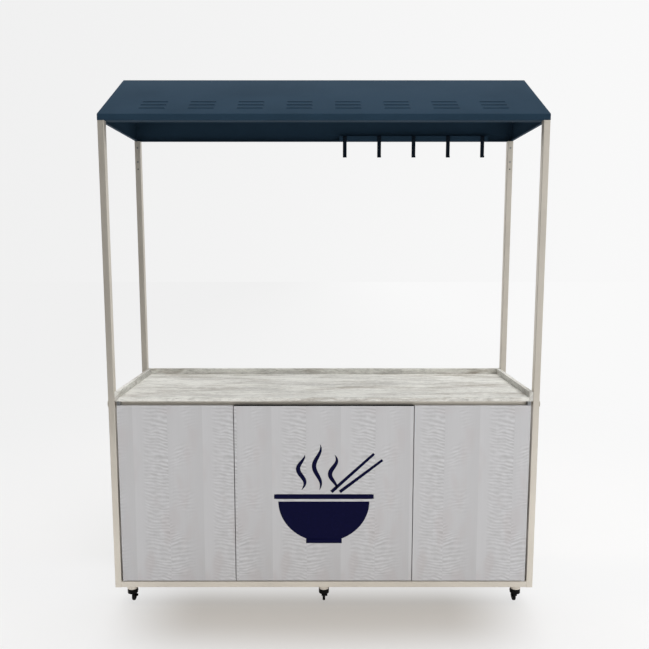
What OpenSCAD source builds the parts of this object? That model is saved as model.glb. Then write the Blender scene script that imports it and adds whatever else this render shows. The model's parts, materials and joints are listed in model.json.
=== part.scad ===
// Food cart on six casters: a steel tube frame, a cupboard with two pivoting doors,
// a worktop with upstands and a louvred sheet canopy on four posts.
// Millimetres. The origin is on the floor under the middle, X runs along the serving
// front, +Y points to the back and +Z up.

/* [Cart] */
// Length along the serving front
cart_w = 2000; // [1700:10:2600]
// Depth from the serving front to the back
cart_d = 600; // [540:10:900]
// Height of the worktop's surface above the floor
worktop_z = 1028; // [900:1:1100]
// Height of the canopy's lower edge above the floor
canopy_z = 2276; // [1900:1:2400]

/* [Frame] */
// Side of the square steel tube
tube = 30; // [28:1:40]
// Wall of the square steel tube
tube_wall = 2; // [1.5:0.1:2.5]
// Outer corner radius of the square steel tube
tube_corner = 3; // [3:0.5:5]
// Top front rail's face behind the serving front
rail_recess = 22; // [22:1:40]
// Wall of the spigots inside the tubes
spigot_wall = 3; // [2:0.5:5]
// Clearance between a spigot and its tube
spigot_gap = 0.25; // [0.1:0.05:0.5]
// Length of spigot above and below the leg joint
spigot_reach = 60; // [30:1:120]
// Length of spigot that holds the canopy in each post
canopy_spigot = 130; // [100:1:140]
// Leg joint below the underside of the worktop
joint_drop = 12; // [10:1:20]
// Height of the plate on the leg joint
joint_plate_h = 24; // [20:1:30]
// Height of the frame screws' heads
screw_head_h = 2; // [1.5:0.1:2.3]
// Thickness of the plate on the leg joint
joint_plate_t = 2.3; // [2:0.1:5]
// Distance between the screws of the joint plate
joint_screw_pitch = 12; // [10:1:14]
// Diameter of the joint plate's countersunk screws
joint_screw_d = 4; // [3:0.5:5]
// Diameter of the screws that hold the canopy
canopy_screw_d = 5; // [4:0.5:6]
// Upper screw below the canopy's edge
upper_screw_drop = 35; // [20:1:50]
// Lower screw above the end of the canopy spigot
lower_screw_rise = 22; // [12:1:40]
// Accessory hole below the canopy's edge
accessory_drop = 145; // [145:1:200]
// Diameter of the accessory hole
accessory_d = 7; // [5:0.5:8]

/* [Cupboard] */
// Thickness of the doors, panels and shelves
board = 18; // [15:1:20]
// Width of the centre panel, gap to gap
centre_w = 840; // [600:10:1000]
// Gap between the centre panel and a door
panel_gap = 4; // [2:0.5:6]
// Gap between a door and its post
post_gap = 9; // [8:0.5:14]
// Gap under the doors and the centre panel
foot_gap = 4; // [3.5:0.5:8]
// Gap between a door and the worktop
head_gap = 20; // [14:1:24]
// How much lower the centre panel's top is than the doors'
centre_drop = 2; // [0:0.5:6]
// Partition's middle outside the gap beside the centre panel
partition_shift = 4; // [3:0.5:5]
// Partition's front edge behind the doors
door_back_gap = 2; // [1.7:0.1:3]
// Height of the shelves' underside above the base board
shelf_rise = 400; // [200:10:600]
// Shelf's front edge behind the serving front
shelf_setback = 40; // [36:1:80]
// Clearance round loose boards
board_gap = 1; // [0.5:0.5:2]
// Diameter of a shelf pin
pin_d = 5; // [4:0.5:6]
// Depth of a shelf pin in the board
pin_depth = 8; // [6:0.5:8.5]
// Length of a shelf pin under the shelf
pin_reach = 9; // [8:0.5:12]
// Distance of a shelf pin from the shelf's edge
pin_inset = 50; // [30:1:120]

/* [Door hardware] */
// Pivot axis inside the door's outer edge
pivot_inset = 8; // [7:0.5:9]
// Diameter of the pivot pins
pivot_d = 8; // [6:0.5:9]
// Depth of a pivot pin in the door
pivot_depth = 18; // [12:1:25]
// Width of a pivot block
pivot_block_w = 16; // [14:1:17]
// Radial clearance of a running fit
run_gap = 0.05; // [0.02:0.01:0.1]
// Clearance between moving faces
face_gap = 0.5; // [0.3:0.1:1]
// Diameter of a door magnet
magnet_d = 8; // [6:0.5:9]
// Length of a door magnet
magnet_len = 14; // [8:1:20]
// Thickness of a steel strike plate
strike_t = 1; // [0.8:0.1:1]
// Distance of a magnet from the door's end
magnet_inset = 120; // [80:1:300]
// Leg length of a centre panel bracket
bracket_leg = 30; // [20:1:40]
// Width of a centre panel bracket
bracket_w = 20; // [12:1:30]
// Thickness of a centre panel bracket
bracket_t = 2; // [1.5:0.1:3]

/* [Worktop] */
// Thickness of the worktop
worktop_t = 18; // [15:1:30]
// Thickness of the upstands
upstand_t = 18; // [12:1:25]
// Height of the upstands above the worktop
upstand_h = 28; // [15:1:60]
// Gap between the worktop and a post
worktop_gap = 0.5; // [0.3:0.1:2]

/* [Canopy] */
// Sheet thickness
sheet = 2; // [1:0.1:3]
// Height of the front fascia
fascia_h = 27; // [20:1:60]
// Distance of the ridge from the back
ridge_setback = 181; // [176:1:230]
// Pitch of both slopes in degrees
pitch = 30.5; // [24:0.5:36]
// Depth of the front sheet's bottom return
front_return = 50; // [35:1:80]
// Depth of the joining flanges at the ridge
ridge_flange = 22; // [12:1:40]
// Width of the flanges round the end panels
end_flange = 15; // [10:1:25]
// Width of a louvre
louvre_w = 120; // [80:1:160]
// Distance between louvre columns
louvre_pitch = 221; // [180:1:260]
// Least distance from a louvre to the canopy's end
louvre_margin = 100; // [60:1:150]
// Louvres in a column
louvre_rows = 3; // [1:1:4]
// Distance between louvre rows up the slope
louvre_step = 42; // [30:1:44]
// First louvre row above the front eave
front_louvre_start = 82; // [30:1:120]
// First louvre row above the rear eave
rear_louvre_start = 46; // [25:1:50]
// Length of a louvre's mouth up the slope
louvre_mouth = 9; // [6:0.5:14]
// Rise of a louvre's hood over the sheet
louvre_rise = 3; // [2.5:0.5:8]
// Wall of a louvre's hood
hood_wall = 1.2; // [0.8:0.1:2]

/* [Hooks] */
// Side of the square hook rail
hook_rail = 25; // [20:1:30]
// Wall of the hook rail
hook_rail_wall = 2; // [1:0.5:3]
// Clearance between the hooks and the canopy's rear return
hook_clear = 3; // [0.5:0.5:6]
// Overhang of the hook rail past its end hooks
hook_rail_end = 30; // [15:1:60]
// Distance of the first hook from the cart's middle
hook_start = 110; // [40:1:300]
// Distance between hooks
hook_pitch = 181.5; // [80:0.5:300]
// Width of a hook's flat bar
hook_w = 20; // [15:1:30]
// Thickness of a hook's flat bar
hook_t = 3; // [2:0.5:5]
// Length of a hook below the canopy's edge
hook_drop = 85; // [60:1:150]
// Inner radius of a hook's bend
hook_r = 3; // [3:0.5:15]
// Straight tip of a hook above its bend
hook_tip = 3; // [2:1:30]
// Diameter of a hook screw
hook_screw_d = 4; // [3:0.5:5]

/* [Casters] */
// Distance of an end caster from the cart's end
caster_inset_x = 70; // [70:1:200]
// Distance of a caster from the cart's front or back
caster_inset_y = 45; // [45:1:100]
// Diameter of a caster boss
boss_d = 50; // [40:1:60]
// Height of a caster boss
boss_h = 25; // [22:1:60]
// Diameter of a wheel
wheel_d = 50; // [44:1:60]
// Width of a wheel
wheel_w = 13; // [13:0.5:20]
// Diameter of a wheel's hub
hub_d = 38; // [34:1:40]
// Diameter of a wheel's axle
axle_d = 8; // [6:0.5:9]
// Distance of the axle behind the swivel axis
trail = 23; // [20:1:28]
// Clearance between the wheel and the swivel housing
wheel_gap = 3; // [2.5:0.5:6]
// Diameter of the swivel housing
housing_d = 49; // [44:1:60]
// Height of the swivel housing
housing_h = 22; // [18:1:30]
// Thickness of a fork cheek
cheek_t = 2; // [1.5:0.5:4]
// Clearance beside the wheel
side_gap = 0.5; // [0.3:0.1:2]
// Diameter of a caster's threaded stem
stem_d = 10; // [8:1:12]
// Length of a caster's threaded stem
stem_len = 20; // [12:1:20]
// Diameter of the stem's collar
collar_d = 24; // [18:1:30]
// Height of the stem's collar
collar_h = 4; // [3:0.5:6]
// Diameter of the kingpin
kingpin_d = 8; // [6:0.5:9]
// Diameter of the kingpin's rivet head
kingpin_head_d = 13; // [11:0.5:13]
// Width of a brake pedal's tread
pedal_w = 20; // [16:1:30]
// Length of a brake pedal's tread
pedal_len = 28; // [20:1:34]
// Thickness of a brake pedal's tread
pedal_t = 2.5; // [2:0.5:4]
// Diameter of a brake pedal's pivot
pedal_pin_d = 3; // [2:0.5:4]
// Clearance between a brake pedal's eye and the wheel
pedal_gap = 0.4; // [0.3:0.1:0.8]
// Wall of the eye round a brake pedal's pivot
eye_wall = 1.5; // [1.2:0.1:2]
// Wall of the fork round the axle
axle_wall = 3; // [2:0.5:4]
// Thickness of the axle bolt's head
axle_head_h = 2.5; // [2:0.5:4]
// Thickness of the axle's lock nut
axle_nut_h = 8; // [5:0.5:10]
// Turn of the front left caster in degrees
turn_front_left = 0; // [-180:1:180]
// Turn of the front middle caster in degrees
turn_front_middle = 0; // [-180:1:180]
// Turn of the front right caster in degrees
turn_front_right = 0; // [-180:1:180]
// Turn of the rear left caster in degrees
turn_rear_left = 205; // [90:1:270]
// Turn of the rear middle caster in degrees
turn_rear_middle = 180; // [90:1:270]
// Turn of the rear right caster in degrees
turn_rear_right = 160; // [90:1:270]

/* [Hidden] */
$fn = 48;

// A cut runs this far past the faces that it opens
cut = 1;

// Colours
steel_paint = [0.78, 0.75, 0.70];
navy_paint = [0.20, 0.29, 0.37];
laminate = [0.74, 0.74, 0.74];
pale_wood = [0.80, 0.80, 0.78];
zinc = [0.55, 0.56, 0.57];
black_plastic = [0.06, 0.06, 0.06];

// Frame places
half_w = cart_w / 2;
half_d = cart_d / 2;
post_x = half_w - tube / 2;
post_y = half_d - tube / 2;
inner_x = half_w - tube;
inner_y = half_d - tube;
housing_z = wheel_d + wheel_gap;
caster_h = housing_z + housing_h;
frame_z = caster_h + boss_h;
base_rail_z = frame_z + tube / 2;
base_top_z = frame_z + tube;
worktop_under_z = worktop_z - worktop_t;
top_rail_z = worktop_under_z - tube / 2;
top_rail_y = -half_d + rail_recess + tube / 2;
joint_z = worktop_under_z - joint_drop;
spigot_side = tube - 2 * tube_wall - 2 * spigot_gap;
tube_corner_in = tube_corner - tube_wall;
canopy_screw_drops = [upper_screw_drop, canopy_spigot - lower_screw_rise];

// Cupboard places
base_board_z = base_top_z + board;
partition_x = centre_w / 2 + partition_shift;
partition_front = -half_d + board + door_back_gap;
partition_top = worktop_under_z - tube;
front_foot_z = base_top_z + foot_gap;
door_top_z = worktop_under_z - head_gap;
door_in = centre_w / 2 + panel_gap / 2;
door_out = inner_x - post_gap;
pivot_x = door_out - pivot_inset;
pivot_y = -half_d + board / 2;
magnet_x = (door_in + partition_x + board / 2) / 2;
strike_d = magnet_d;
shelf_z = base_board_z + shelf_rise;
pin_fit = 0.05;

// Canopy places
rise = tan(pitch);
front_run = cart_d - ridge_setback;
eave_z = canopy_z + fascia_h;
ridge_y = half_d - ridge_setback;
ridge_z = eave_z + front_run * rise;
rear_eave_z = ridge_z - ridge_setback * rise;
canopy_outline = [
    [-half_d, canopy_z], [-half_d, eave_z], [ridge_y, ridge_z],
    [half_d, rear_eave_z], [half_d, canopy_z]
];
louvre_columns = floor((cart_w - 2 * louvre_margin - louvre_w) / louvre_pitch) + 1;
louvre_xs = [for (i = [0 : louvre_columns - 1]) (i - (louvre_columns - 1) / 2) * louvre_pitch];

// Hook places
hook_count = floor((half_w - hook_start - 2 * hook_rail_end) / hook_pitch) + 1;
hook_xs = [for (i = [0 : hook_count - 1]) hook_start + i * hook_pitch];
hook_rail_y = half_d - sheet - hook_rail / 2;
hook_rail_z = canopy_z + sheet + hook_rail / 2;
hook_back_y = hook_rail_y - hook_rail / 2;
rear_return_y = hook_back_y + hook_clear;

// Caster places
caster_x = half_w - caster_inset_x;
caster_y = half_d - caster_inset_y;
axle_z = wheel_d / 2;
cheek_in = wheel_w / 2 + side_gap;
cheek_out = cheek_in + cheek_t;
pedal_eye_r = pedal_pin_d / 2 + eye_wall;
pedal_reach = axle_z + pedal_eye_r + pedal_gap;
pedal_angle = 58;
pedal_pin_y = trail + pedal_reach * cos(pedal_angle);
pedal_pin_z = axle_z + pedal_reach * sin(pedal_angle);
pedal_slope = 40;
rivet_gap = 0.3;

// Parallel path at a distance to the left of a path of points
function unit(v) = v / norm(v);
function left_of(a, b) = let (d = unit(b - a)) [-d[1], d[0]];
function shifted(p, t) = [
    for (i = [0 : len(p) - 1])
        let (before = left_of(p[max(i - 1, 0)], p[max(i, 1)]))
        let (after = left_of(p[min(i, len(p) - 2)], p[min(i + 1, len(p) - 1)]))
        p[i] + t * (before + after) / (1 + before * after)
];
function folded(p, t) = let (q = shifted(p, t)) concat(p, [for (i = [len(q) - 1 : -1 : 0]) q[i]]);

// Closed outline drawn in by a distance; the points run clockwise
function drawn_in(p, t) = [
    for (i = [0 : len(p) - 1])
        let (n = len(p))
        let (before = left_of(p[(i + n - 1) % n], p[i]))
        let (after = left_of(p[i], p[(i + 1) % n]))
        p[i] - t * (before + after) / (1 + before * after)
];

// Square with round corners
module round_square(side, corner) {
    square([side - 2 * corner, side], center = true);
    square([side, side - 2 * corner], center = true);
    for (x = [-1, 1], y = [-1, 1]) translate([x, y] * (side / 2 - corner)) circle(corner);
}

// Square tube upright, along X and along Y
module tube_section() {
    difference() {
        round_square(tube, tube_corner);
        round_square(tube - 2 * tube_wall, tube_corner_in);
    }
}
module tube_up(x, y, z0, z1) {
    translate([x, y, z0]) linear_extrude(z1 - z0) tube_section();
}
module tube_along(x0, x1, y, z) {
    translate([x0, y, z]) rotate([0, 90, 0]) linear_extrude(x1 - x0) tube_section();
}
module tube_across(y0, y1, x, z) {
    translate([x, y0, z]) rotate([-90, 0, 0]) linear_extrude(y1 - y0) tube_section();
}

// A box from corner to corner
module slab(low, high) {
    translate(low) cube(high - low);
}

// Outline in Y and Z carried along X about the middle
module along_x(length) {
    rotate([90, 0, 90]) linear_extrude(length, center = true) children();
}

// The rear right corner, mirrored to all four
module corners() {
    for (sx = [0, 1], sy = [0, 1]) mirror([sx, 0, 0]) mirror([0, sy, 0]) children();
}

// Screws of the rear right corner, mirrored to the others
module joint_screw_places() {
    for (dz = [-0.5, 0.5])
        translate([half_w + joint_plate_t, post_y, joint_z + dz * joint_screw_pitch])
            rotate([0, -90, 0]) children();
}
module canopy_screw_places() {
    for (drop = canopy_screw_drops)
        translate([post_x, post_y - tube / 2, canopy_z - drop]) rotate([-90, 0, 0]) children();
}
joint_screw_reach = joint_plate_t + tube_wall + spigot_gap + spigot_wall;
canopy_screw_reach = tube_wall + spigot_gap + spigot_wall;

module joint_screw(grow) {
    cylinder(d1 = 2 * joint_screw_d + 2 * grow, d2 = joint_screw_d + 2 * grow, h = screw_head_h);
    cylinder(d = joint_screw_d + 2 * grow, h = joint_screw_reach);
}
module canopy_screw(grow) {
    cylinder(d = canopy_screw_d + 2 * grow, h = canopy_screw_reach);
}
module joint_screw_cuts() {
    joint_screw_places() joint_screw(pin_fit);
}
module canopy_screw_cuts() {
    canopy_screw_places() translate([0, 0, -cut])
        cylinder(d = canopy_screw_d + 2 * pin_fit, h = canopy_screw_reach + cut);
}

// A leg is closed at the bottom and drilled for its joint plate
module corner_leg() {
    difference() {
        union() {
            tube_up(post_x, post_y, frame_z, joint_z);
            translate([post_x, post_y, frame_z]) linear_extrude(tube_wall) round_square(tube, tube_corner);
        }
        joint_screw_cuts();
    }
}
module leg(sx, sy) {
    color(steel_paint) mirror([sx, 0, 0]) mirror([0, sy, 0]) corner_leg();
}
module leg_front_left() { leg(1, 1); }
module leg_front_right() { leg(0, 1); }
module leg_rear_left() { leg(1, 0); }
module leg_rear_right() { leg(0, 0); }

// A post stands on its leg and carries the canopy; a hole in its inner face takes an accessory
module corner_post() {
    difference() {
        tube_up(post_x, post_y, joint_z, canopy_z);
        joint_screw_cuts();
        canopy_screw_cuts();
        translate([post_x, inner_y - cut, canopy_z - accessory_drop])
            rotate([-90, 0, 0]) cylinder(d = accessory_d, h = tube_wall + 2 * cut);
    }
}
module post(sx, sy) {
    color(steel_paint) mirror([sx, 0, 0]) mirror([0, sy, 0]) corner_post();
}
module post_front_left() { post(1, 1); }
module post_front_right() { post(0, 1); }
module post_rear_left() { post(1, 0); }
module post_rear_right() { post(0, 0); }

// Rails between the legs
module rail_bottom_front() { color(steel_paint) tube_along(-inner_x, inner_x, -post_y, base_rail_z); }
module rail_bottom_rear() { color(steel_paint) tube_along(-inner_x, inner_x, post_y, base_rail_z); }
module rail_top_front() { color(steel_paint) tube_along(-inner_x, inner_x, top_rail_y, top_rail_z); }
module rail_top_rear() { color(steel_paint) tube_along(-inner_x, inner_x, post_y, top_rail_z); }
module side_rails() {
    color(steel_paint) for (x = [-post_x, post_x], z = [base_rail_z, top_rail_z])
        tube_across(-inner_y, inner_y, x, z);
}

// Three members join the bottom rails over the casters
module cross_members() {
    color(steel_paint) for (x = [-caster_x, 0, caster_x]) tube_across(-inner_y, inner_y, x, base_rail_z);
}

// Spigots fill the leg joints and the tops of the posts
module spigot(z0, z1) {
    translate([post_x, post_y, z0]) linear_extrude(z1 - z0) difference() {
        round_square(spigot_side, tube_corner_in);
        square(spigot_side - 2 * spigot_wall, center = true);
    }
}
module spigots() {
    color(zinc) corners() {
        difference() {
            spigot(joint_z - spigot_reach, joint_z + spigot_reach);
            joint_screw_cuts();
        }
        difference() {
            spigot(canopy_z - canopy_spigot, canopy_z);
            canopy_screw_cuts();
        }
    }
}

// Plates over the leg joints, on the outer faces
module joint_plates() {
    color(steel_paint) corners() difference() {
        slab([half_w, inner_y, joint_z - joint_plate_h / 2],
             [half_w + joint_plate_t, half_d, joint_z + joint_plate_h / 2]);
        joint_screw_cuts();
    }
}

// Countersunk screws in the joint plates and pan heads at the tops of the posts
pan_top = 1.4;
pan_rim = 1.8;
module frame_screws() {
    color(zinc) corners() {
        joint_screw_places() joint_screw(0);
        canopy_screw_places() {
            canopy_screw(0);
            translate([0, 0, -screw_head_h])
                cylinder(d1 = pan_top * canopy_screw_d, d2 = pan_rim * canopy_screw_d, h = screw_head_h);
        }
    }
}

// Cupboard boards
module base_board() {
    color(laminate) slab([-inner_x + board_gap, -half_d + rail_recess, base_top_z],
                         [inner_x - board_gap, half_d, base_board_z]);
}

// Pins on both faces of a board that stands across the cart
pin_ys = [-half_d + shelf_setback + pin_inset, half_d - shelf_setback - pin_inset];
module pin_places(face_x, into) {
    for (y = pin_ys) translate([face_x, y, shelf_z - pin_d / 2]) rotate([0, into * 90, 0]) children();
}
module pin_cuts(face_x, into) {
    pin_places(face_x, into) translate([0, 0, -cut]) cylinder(d = pin_d + 2 * pin_fit, h = pin_depth + cut);
}
module pins(face_x, into) {
    pin_places(face_x, into) translate([0, 0, -pin_reach]) cylinder(d = pin_d, h = pin_depth + pin_reach);
}
magnet_zs = [front_foot_z + magnet_inset, door_top_z - magnet_inset];
magnet_front = partition_front - (door_back_gap - strike_t - rivet_gap);
module magnet_places() {
    for (z = magnet_zs) translate([magnet_x, magnet_front, z]) rotate([-90, 0, 0]) children();
}
module partition() {
    difference() {
        slab([partition_x - board / 2, partition_front, base_board_z],
             [partition_x + board / 2, half_d - board_gap, partition_top]);
        pin_cuts(partition_x - board / 2, 1);
        pin_cuts(partition_x + board / 2, -1);
        magnet_places() cylinder(d = magnet_d + 2 * pin_fit, h = magnet_len);
    }
}
module partition_left() { color(laminate) mirror([1, 0, 0]) partition(); }
module partition_right() { color(laminate) partition(); }

module shelf_board(x0, x1) {
    slab([x0 + board_gap, -half_d + shelf_setback, shelf_z],
         [x1 - board_gap, half_d - shelf_setback, shelf_z + board]);
}
module shelves() {
    color(laminate) {
        shelf_board(-partition_x + board / 2, partition_x - board / 2);
        for (side = [0, 1]) mirror([side, 0, 0]) shelf_board(partition_x + board / 2, half_w - board);
    }
}
module shelf_pins() {
    color(zinc) for (side = [0, 1]) mirror([side, 0, 0]) {
        pins(partition_x - board / 2, 1);
        pins(partition_x + board / 2, -1);
        pins(half_w - board, 1);
    }
}

// Side panels stand on the side rails, flush with the frame
module side_panel() {
    difference() {
        slab([half_w - board, -inner_y + board_gap, base_top_z],
             [half_w, inner_y - board_gap, partition_top - board_gap]);
        pin_cuts(half_w - board, 1);
    }
}
module side_panel_left() { color(laminate) mirror([1, 0, 0]) side_panel(); }
module side_panel_right() { color(laminate) side_panel(); }

// Centre panel and the brackets that hold it to the partitions
module centre_panel() {
    color(laminate) slab([-centre_w / 2 + panel_gap / 2, -half_d, front_foot_z],
                         [centre_w / 2 - panel_gap / 2, -half_d + board, door_top_z - centre_drop]);
}
bracket_zs = [base_board_z + magnet_inset, shelf_z - magnet_inset, partition_top - magnet_inset];
module panel_brackets() {
    color(zinc) for (side = [0, 1], z = bracket_zs) mirror([side, 0, 0]) translate([0, 0, z]) {
        slab([partition_x - board / 2 - bracket_leg, -half_d + board, 0],
             [partition_x - board / 2, -half_d + board + bracket_t, bracket_w]);
        slab([partition_x - board / 2 - bracket_t, -half_d + board, 0],
             [partition_x - board / 2, -half_d + board + bracket_leg, bracket_w]);
    }
}

// Doors turn on pins at the top and bottom of their outer edges
module door_leaf() {
    difference() {
        slab([door_in, -half_d, front_foot_z], [door_out, -half_d + board, door_top_z]);
        translate([pivot_x, pivot_y, door_top_z - pivot_depth - cut])
            cylinder(d = pivot_d + 2 * run_gap, h = pivot_depth + 2 * cut);
        translate([pivot_x, pivot_y, front_foot_z - cut])
            cylinder(d = pivot_d + 2 * run_gap, h = pivot_depth + 2 * cut);
    }
}
module door_left() { color(laminate) mirror([1, 0, 0]) door_leaf(); }
module door_right() { color(laminate) door_leaf(); }

// Steel discs on the back of a door meet the magnets
module strike_discs() {
    for (z = magnet_zs) translate([magnet_x, -half_d + board, z])
        rotate([-90, 0, 0]) cylinder(d = strike_d, h = strike_t);
}
module strikes_left() { color(zinc) mirror([1, 0, 0]) strike_discs(); }
module strikes_right() { color(zinc) strike_discs(); }

// Upper pivot blocks fill the gap under the worktop, lower ones lie on the bottom rail
module pivot_pair() {
    block_low = [pivot_x - pivot_block_w / 2, pivot_y - pivot_block_w / 2];
    block_high = [pivot_x + pivot_block_w / 2, pivot_y + pivot_block_w / 2];
    slab([block_low[0], block_low[1], door_top_z + face_gap],
         [block_high[0], -half_d + rail_recess, worktop_under_z]);
    translate([pivot_x, pivot_y, door_top_z - pivot_depth])
        cylinder(d = pivot_d, h = pivot_depth + face_gap);
    slab([block_low[0], block_low[1], base_top_z],
         [block_high[0], block_high[1], front_foot_z - face_gap]);
    translate([pivot_x, pivot_y, base_top_z]) cylinder(d = pivot_d, h = foot_gap + pivot_depth);
}
module door_pivots() {
    color(zinc) for (side = [0, 1]) mirror([side, 0, 0]) pivot_pair();
}
module door_magnets() {
    color(zinc) for (side = [0, 1]) mirror([side, 0, 0])
        magnet_places() cylinder(d = magnet_d, h = magnet_len);
}

// Worktop between the posts, edged by an upstand at each end and one at the back
top_half = inner_x - worktop_gap;
upstand_top_z = worktop_z + upstand_h;
module worktop() {
    color(pale_wood) slab([upstand_t - top_half, -half_d, worktop_under_z],
                          [top_half - upstand_t, half_d - upstand_t, worktop_z]);
}
module end_upstand() {
    slab([top_half - upstand_t, -half_d, worktop_under_z], [top_half, half_d - upstand_t, upstand_top_z]);
}
module upstand_left() { color(pale_wood) mirror([1, 0, 0]) end_upstand(); }
module upstand_right() { color(pale_wood) end_upstand(); }
module upstand_back() {
    color(pale_wood) slab([-top_half, half_d - upstand_t, worktop_under_z],
                          [top_half, half_d, upstand_top_z]);
}

// Places of the louvres on the front and rear slopes: Y up the slope, Z out of the sheet
module front_louvre_places() {
    for (x = louvre_xs, row = [0 : louvre_rows - 1])
        translate([x, -half_d, eave_z]) rotate([pitch, 0, 0])
            translate([0, front_louvre_start + row * louvre_step, 0]) children();
}
module rear_louvre_places() {
    for (x = louvre_xs, row = [0 : louvre_rows - 1])
        translate([x, half_d, rear_eave_z]) rotate([0, 0, 180]) rotate([pitch, 0, 0])
            translate([0, rear_louvre_start + row * louvre_step, 0]) children();
}

// A pressed louvre: a sloping hood with cheeks, open towards the eave
hood_back = louvre_mouth / 3;
module louvre_hood() {
    root = -sheet / 2;
    along_x(louvre_w + 2 * hood_wall) polygon([
        [hood_back, 0], [-louvre_mouth, louvre_rise], [-louvre_mouth, root], [hood_back, root]
    ]);
}
module louvre_hollow() {
    along_x(louvre_w)
        polygon([[hood_back - 2 * hood_wall, 0], [-louvre_mouth - cut, louvre_rise + cut / 2 - hood_wall],
                 [-louvre_mouth - cut, 0]]);
    slab([-louvre_w / 2, -louvre_mouth - hood_wall, -2 * sheet],
         [louvre_w / 2, hood_back - 2 * hood_wall, 0]);
}

// Folded canopy sheets, flanged together under the ridge
front_path = [
    [-half_d + front_return, canopy_z], [-half_d, canopy_z], [-half_d, eave_z],
    [ridge_y, ridge_z], [ridge_y, ridge_z - ridge_flange]
];
rear_path = [
    [rear_return_y, canopy_z], [half_d, canopy_z], [half_d, rear_eave_z],
    [ridge_y, ridge_z], [ridge_y, ridge_z - ridge_flange]
];
module canopy_front() {
    color(navy_paint) difference() {
        union() {
            along_x(cart_w) polygon(folded(front_path, -sheet));
            front_louvre_places() louvre_hood();
        }
        front_louvre_places() louvre_hollow();
    }
}
module canopy_rear() {
    color(navy_paint) difference() {
        union() {
            along_x(cart_w) polygon(folded(rear_path, sheet));
            rear_louvre_places() louvre_hood();
        }
        rear_louvre_places() louvre_hollow();
    }
}

// End panels are shallow pans inside the sheets, notched round the ridge flanges
pan_outline = drawn_in(canopy_outline, sheet);
module canopy_end() {
    difference() {
        union() {
            translate([half_w - sheet / 2, 0, 0]) along_x(sheet) polygon(pan_outline);
            translate([half_w - end_flange / 2, 0, 0]) along_x(end_flange) difference() {
                polygon(pan_outline);
                polygon(drawn_in(pan_outline, sheet));
            }
        }
        slab([half_w - end_flange - cut, ridge_y - sheet - rivet_gap, ridge_z - ridge_flange - rivet_gap],
             [half_w + cut, ridge_y + sheet + rivet_gap, ridge_z]);
    }
}
module canopy_end_left() { color(navy_paint) mirror([1, 0, 0]) canopy_end(); }
module canopy_end_right() { color(navy_paint) canopy_end(); }

// Hook rail along the right half of the back, inside the canopy
module hook_rail() {
    length = hook_xs[hook_count - 1] - hook_xs[0] + 2 * hook_rail_end;
    color(navy_paint) translate([(hook_xs[0] + hook_xs[hook_count - 1]) / 2, hook_rail_y, hook_rail_z])
        along_x(length) difference() {
            square(hook_rail, center = true);
            square(hook_rail - 2 * hook_rail_wall, center = true);
        }
}

// A hook is a flat bar bent forward into a J
hook_low_z = canopy_z - hook_drop;
hook_bend_z = hook_low_z + hook_r + hook_t;
hook_screw_zs = [hook_rail_z - hook_rail / 4, hook_rail_z + hook_rail / 4];
hook_top_z = hook_rail_z + hook_rail / 2;
module hook_profile() {
    translate([hook_back_y - hook_t, hook_bend_z]) square([hook_t, hook_top_z - hook_bend_z]);
    translate([hook_back_y - 2 * hook_t - 2 * hook_r, hook_bend_z]) square([hook_t, hook_tip]);
    translate([hook_back_y - hook_t - hook_r, hook_bend_z]) difference() {
        circle(hook_r + hook_t);
        circle(hook_r);
        translate([-hook_r - hook_t - cut, 0]) square([2 * (hook_r + hook_t + cut), hook_r + hook_t + cut]);
    }
}
module hook_screw_places() {
    for (x = hook_xs, z = hook_screw_zs) translate([x, hook_back_y, z]) rotate([-90, 0, 0]) children();
}
module hooks() {
    color(navy_paint / 3) difference() {
        for (x = hook_xs) translate([x, 0, 0]) along_x(hook_w) hook_profile();
        hook_screw_places() translate([0, 0, -hook_t - cut])
            cylinder(d = hook_screw_d + 2 * pin_fit, h = hook_t + 2 * cut);
    }
}
module hook_screws() {
    color(zinc) hook_screw_places() {
        translate([0, 0, -hook_t]) cylinder(d = hook_screw_d, h = hook_t);
        translate([0, 0, -hook_t - screw_head_h / 2])
            cylinder(d = pan_rim * hook_screw_d, h = screw_head_h / 2);
    }
}

// Caster places: the wheel trails along +Y before the caster is turned
module caster_at(sx, sy, turn) {
    translate([sx * caster_x, sy * caster_y, 0]) rotate([0, 0, turn]) children();
}
module all_casters() {
    for (sx = [-1, 0, 1], sy = [-1, 1]) caster_at(sx, sy, 0) children();
}

// Round bosses under the frame, threaded for the stems
module caster_bosses() {
    color(steel_paint) all_casters() difference() {
        translate([0, 0, caster_h]) cylinder(d = boss_d, h = boss_h);
        translate([0, 0, caster_h - cut]) cylinder(d = stem_d + 2 * pin_fit, h = stem_len + 2 * cut);
    }
}

// Stem, collar and kingpin of each caster, fixed to its boss
kingpin_head_h = 4;
module caster_stems() {
    color(zinc) all_casters() {
        translate([0, 0, caster_h]) cylinder(d = stem_d, h = stem_len);
        translate([0, 0, caster_h - collar_h]) cylinder(d = collar_d, h = collar_h);
        translate([0, 0, housing_z - rivet_gap]) {
            cylinder(d = kingpin_d, h = housing_h - collar_h + rivet_gap);
            mirror([0, 0, 1]) cylinder(d = kingpin_head_d, h = kingpin_head_h);
        }
    }
}

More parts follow.
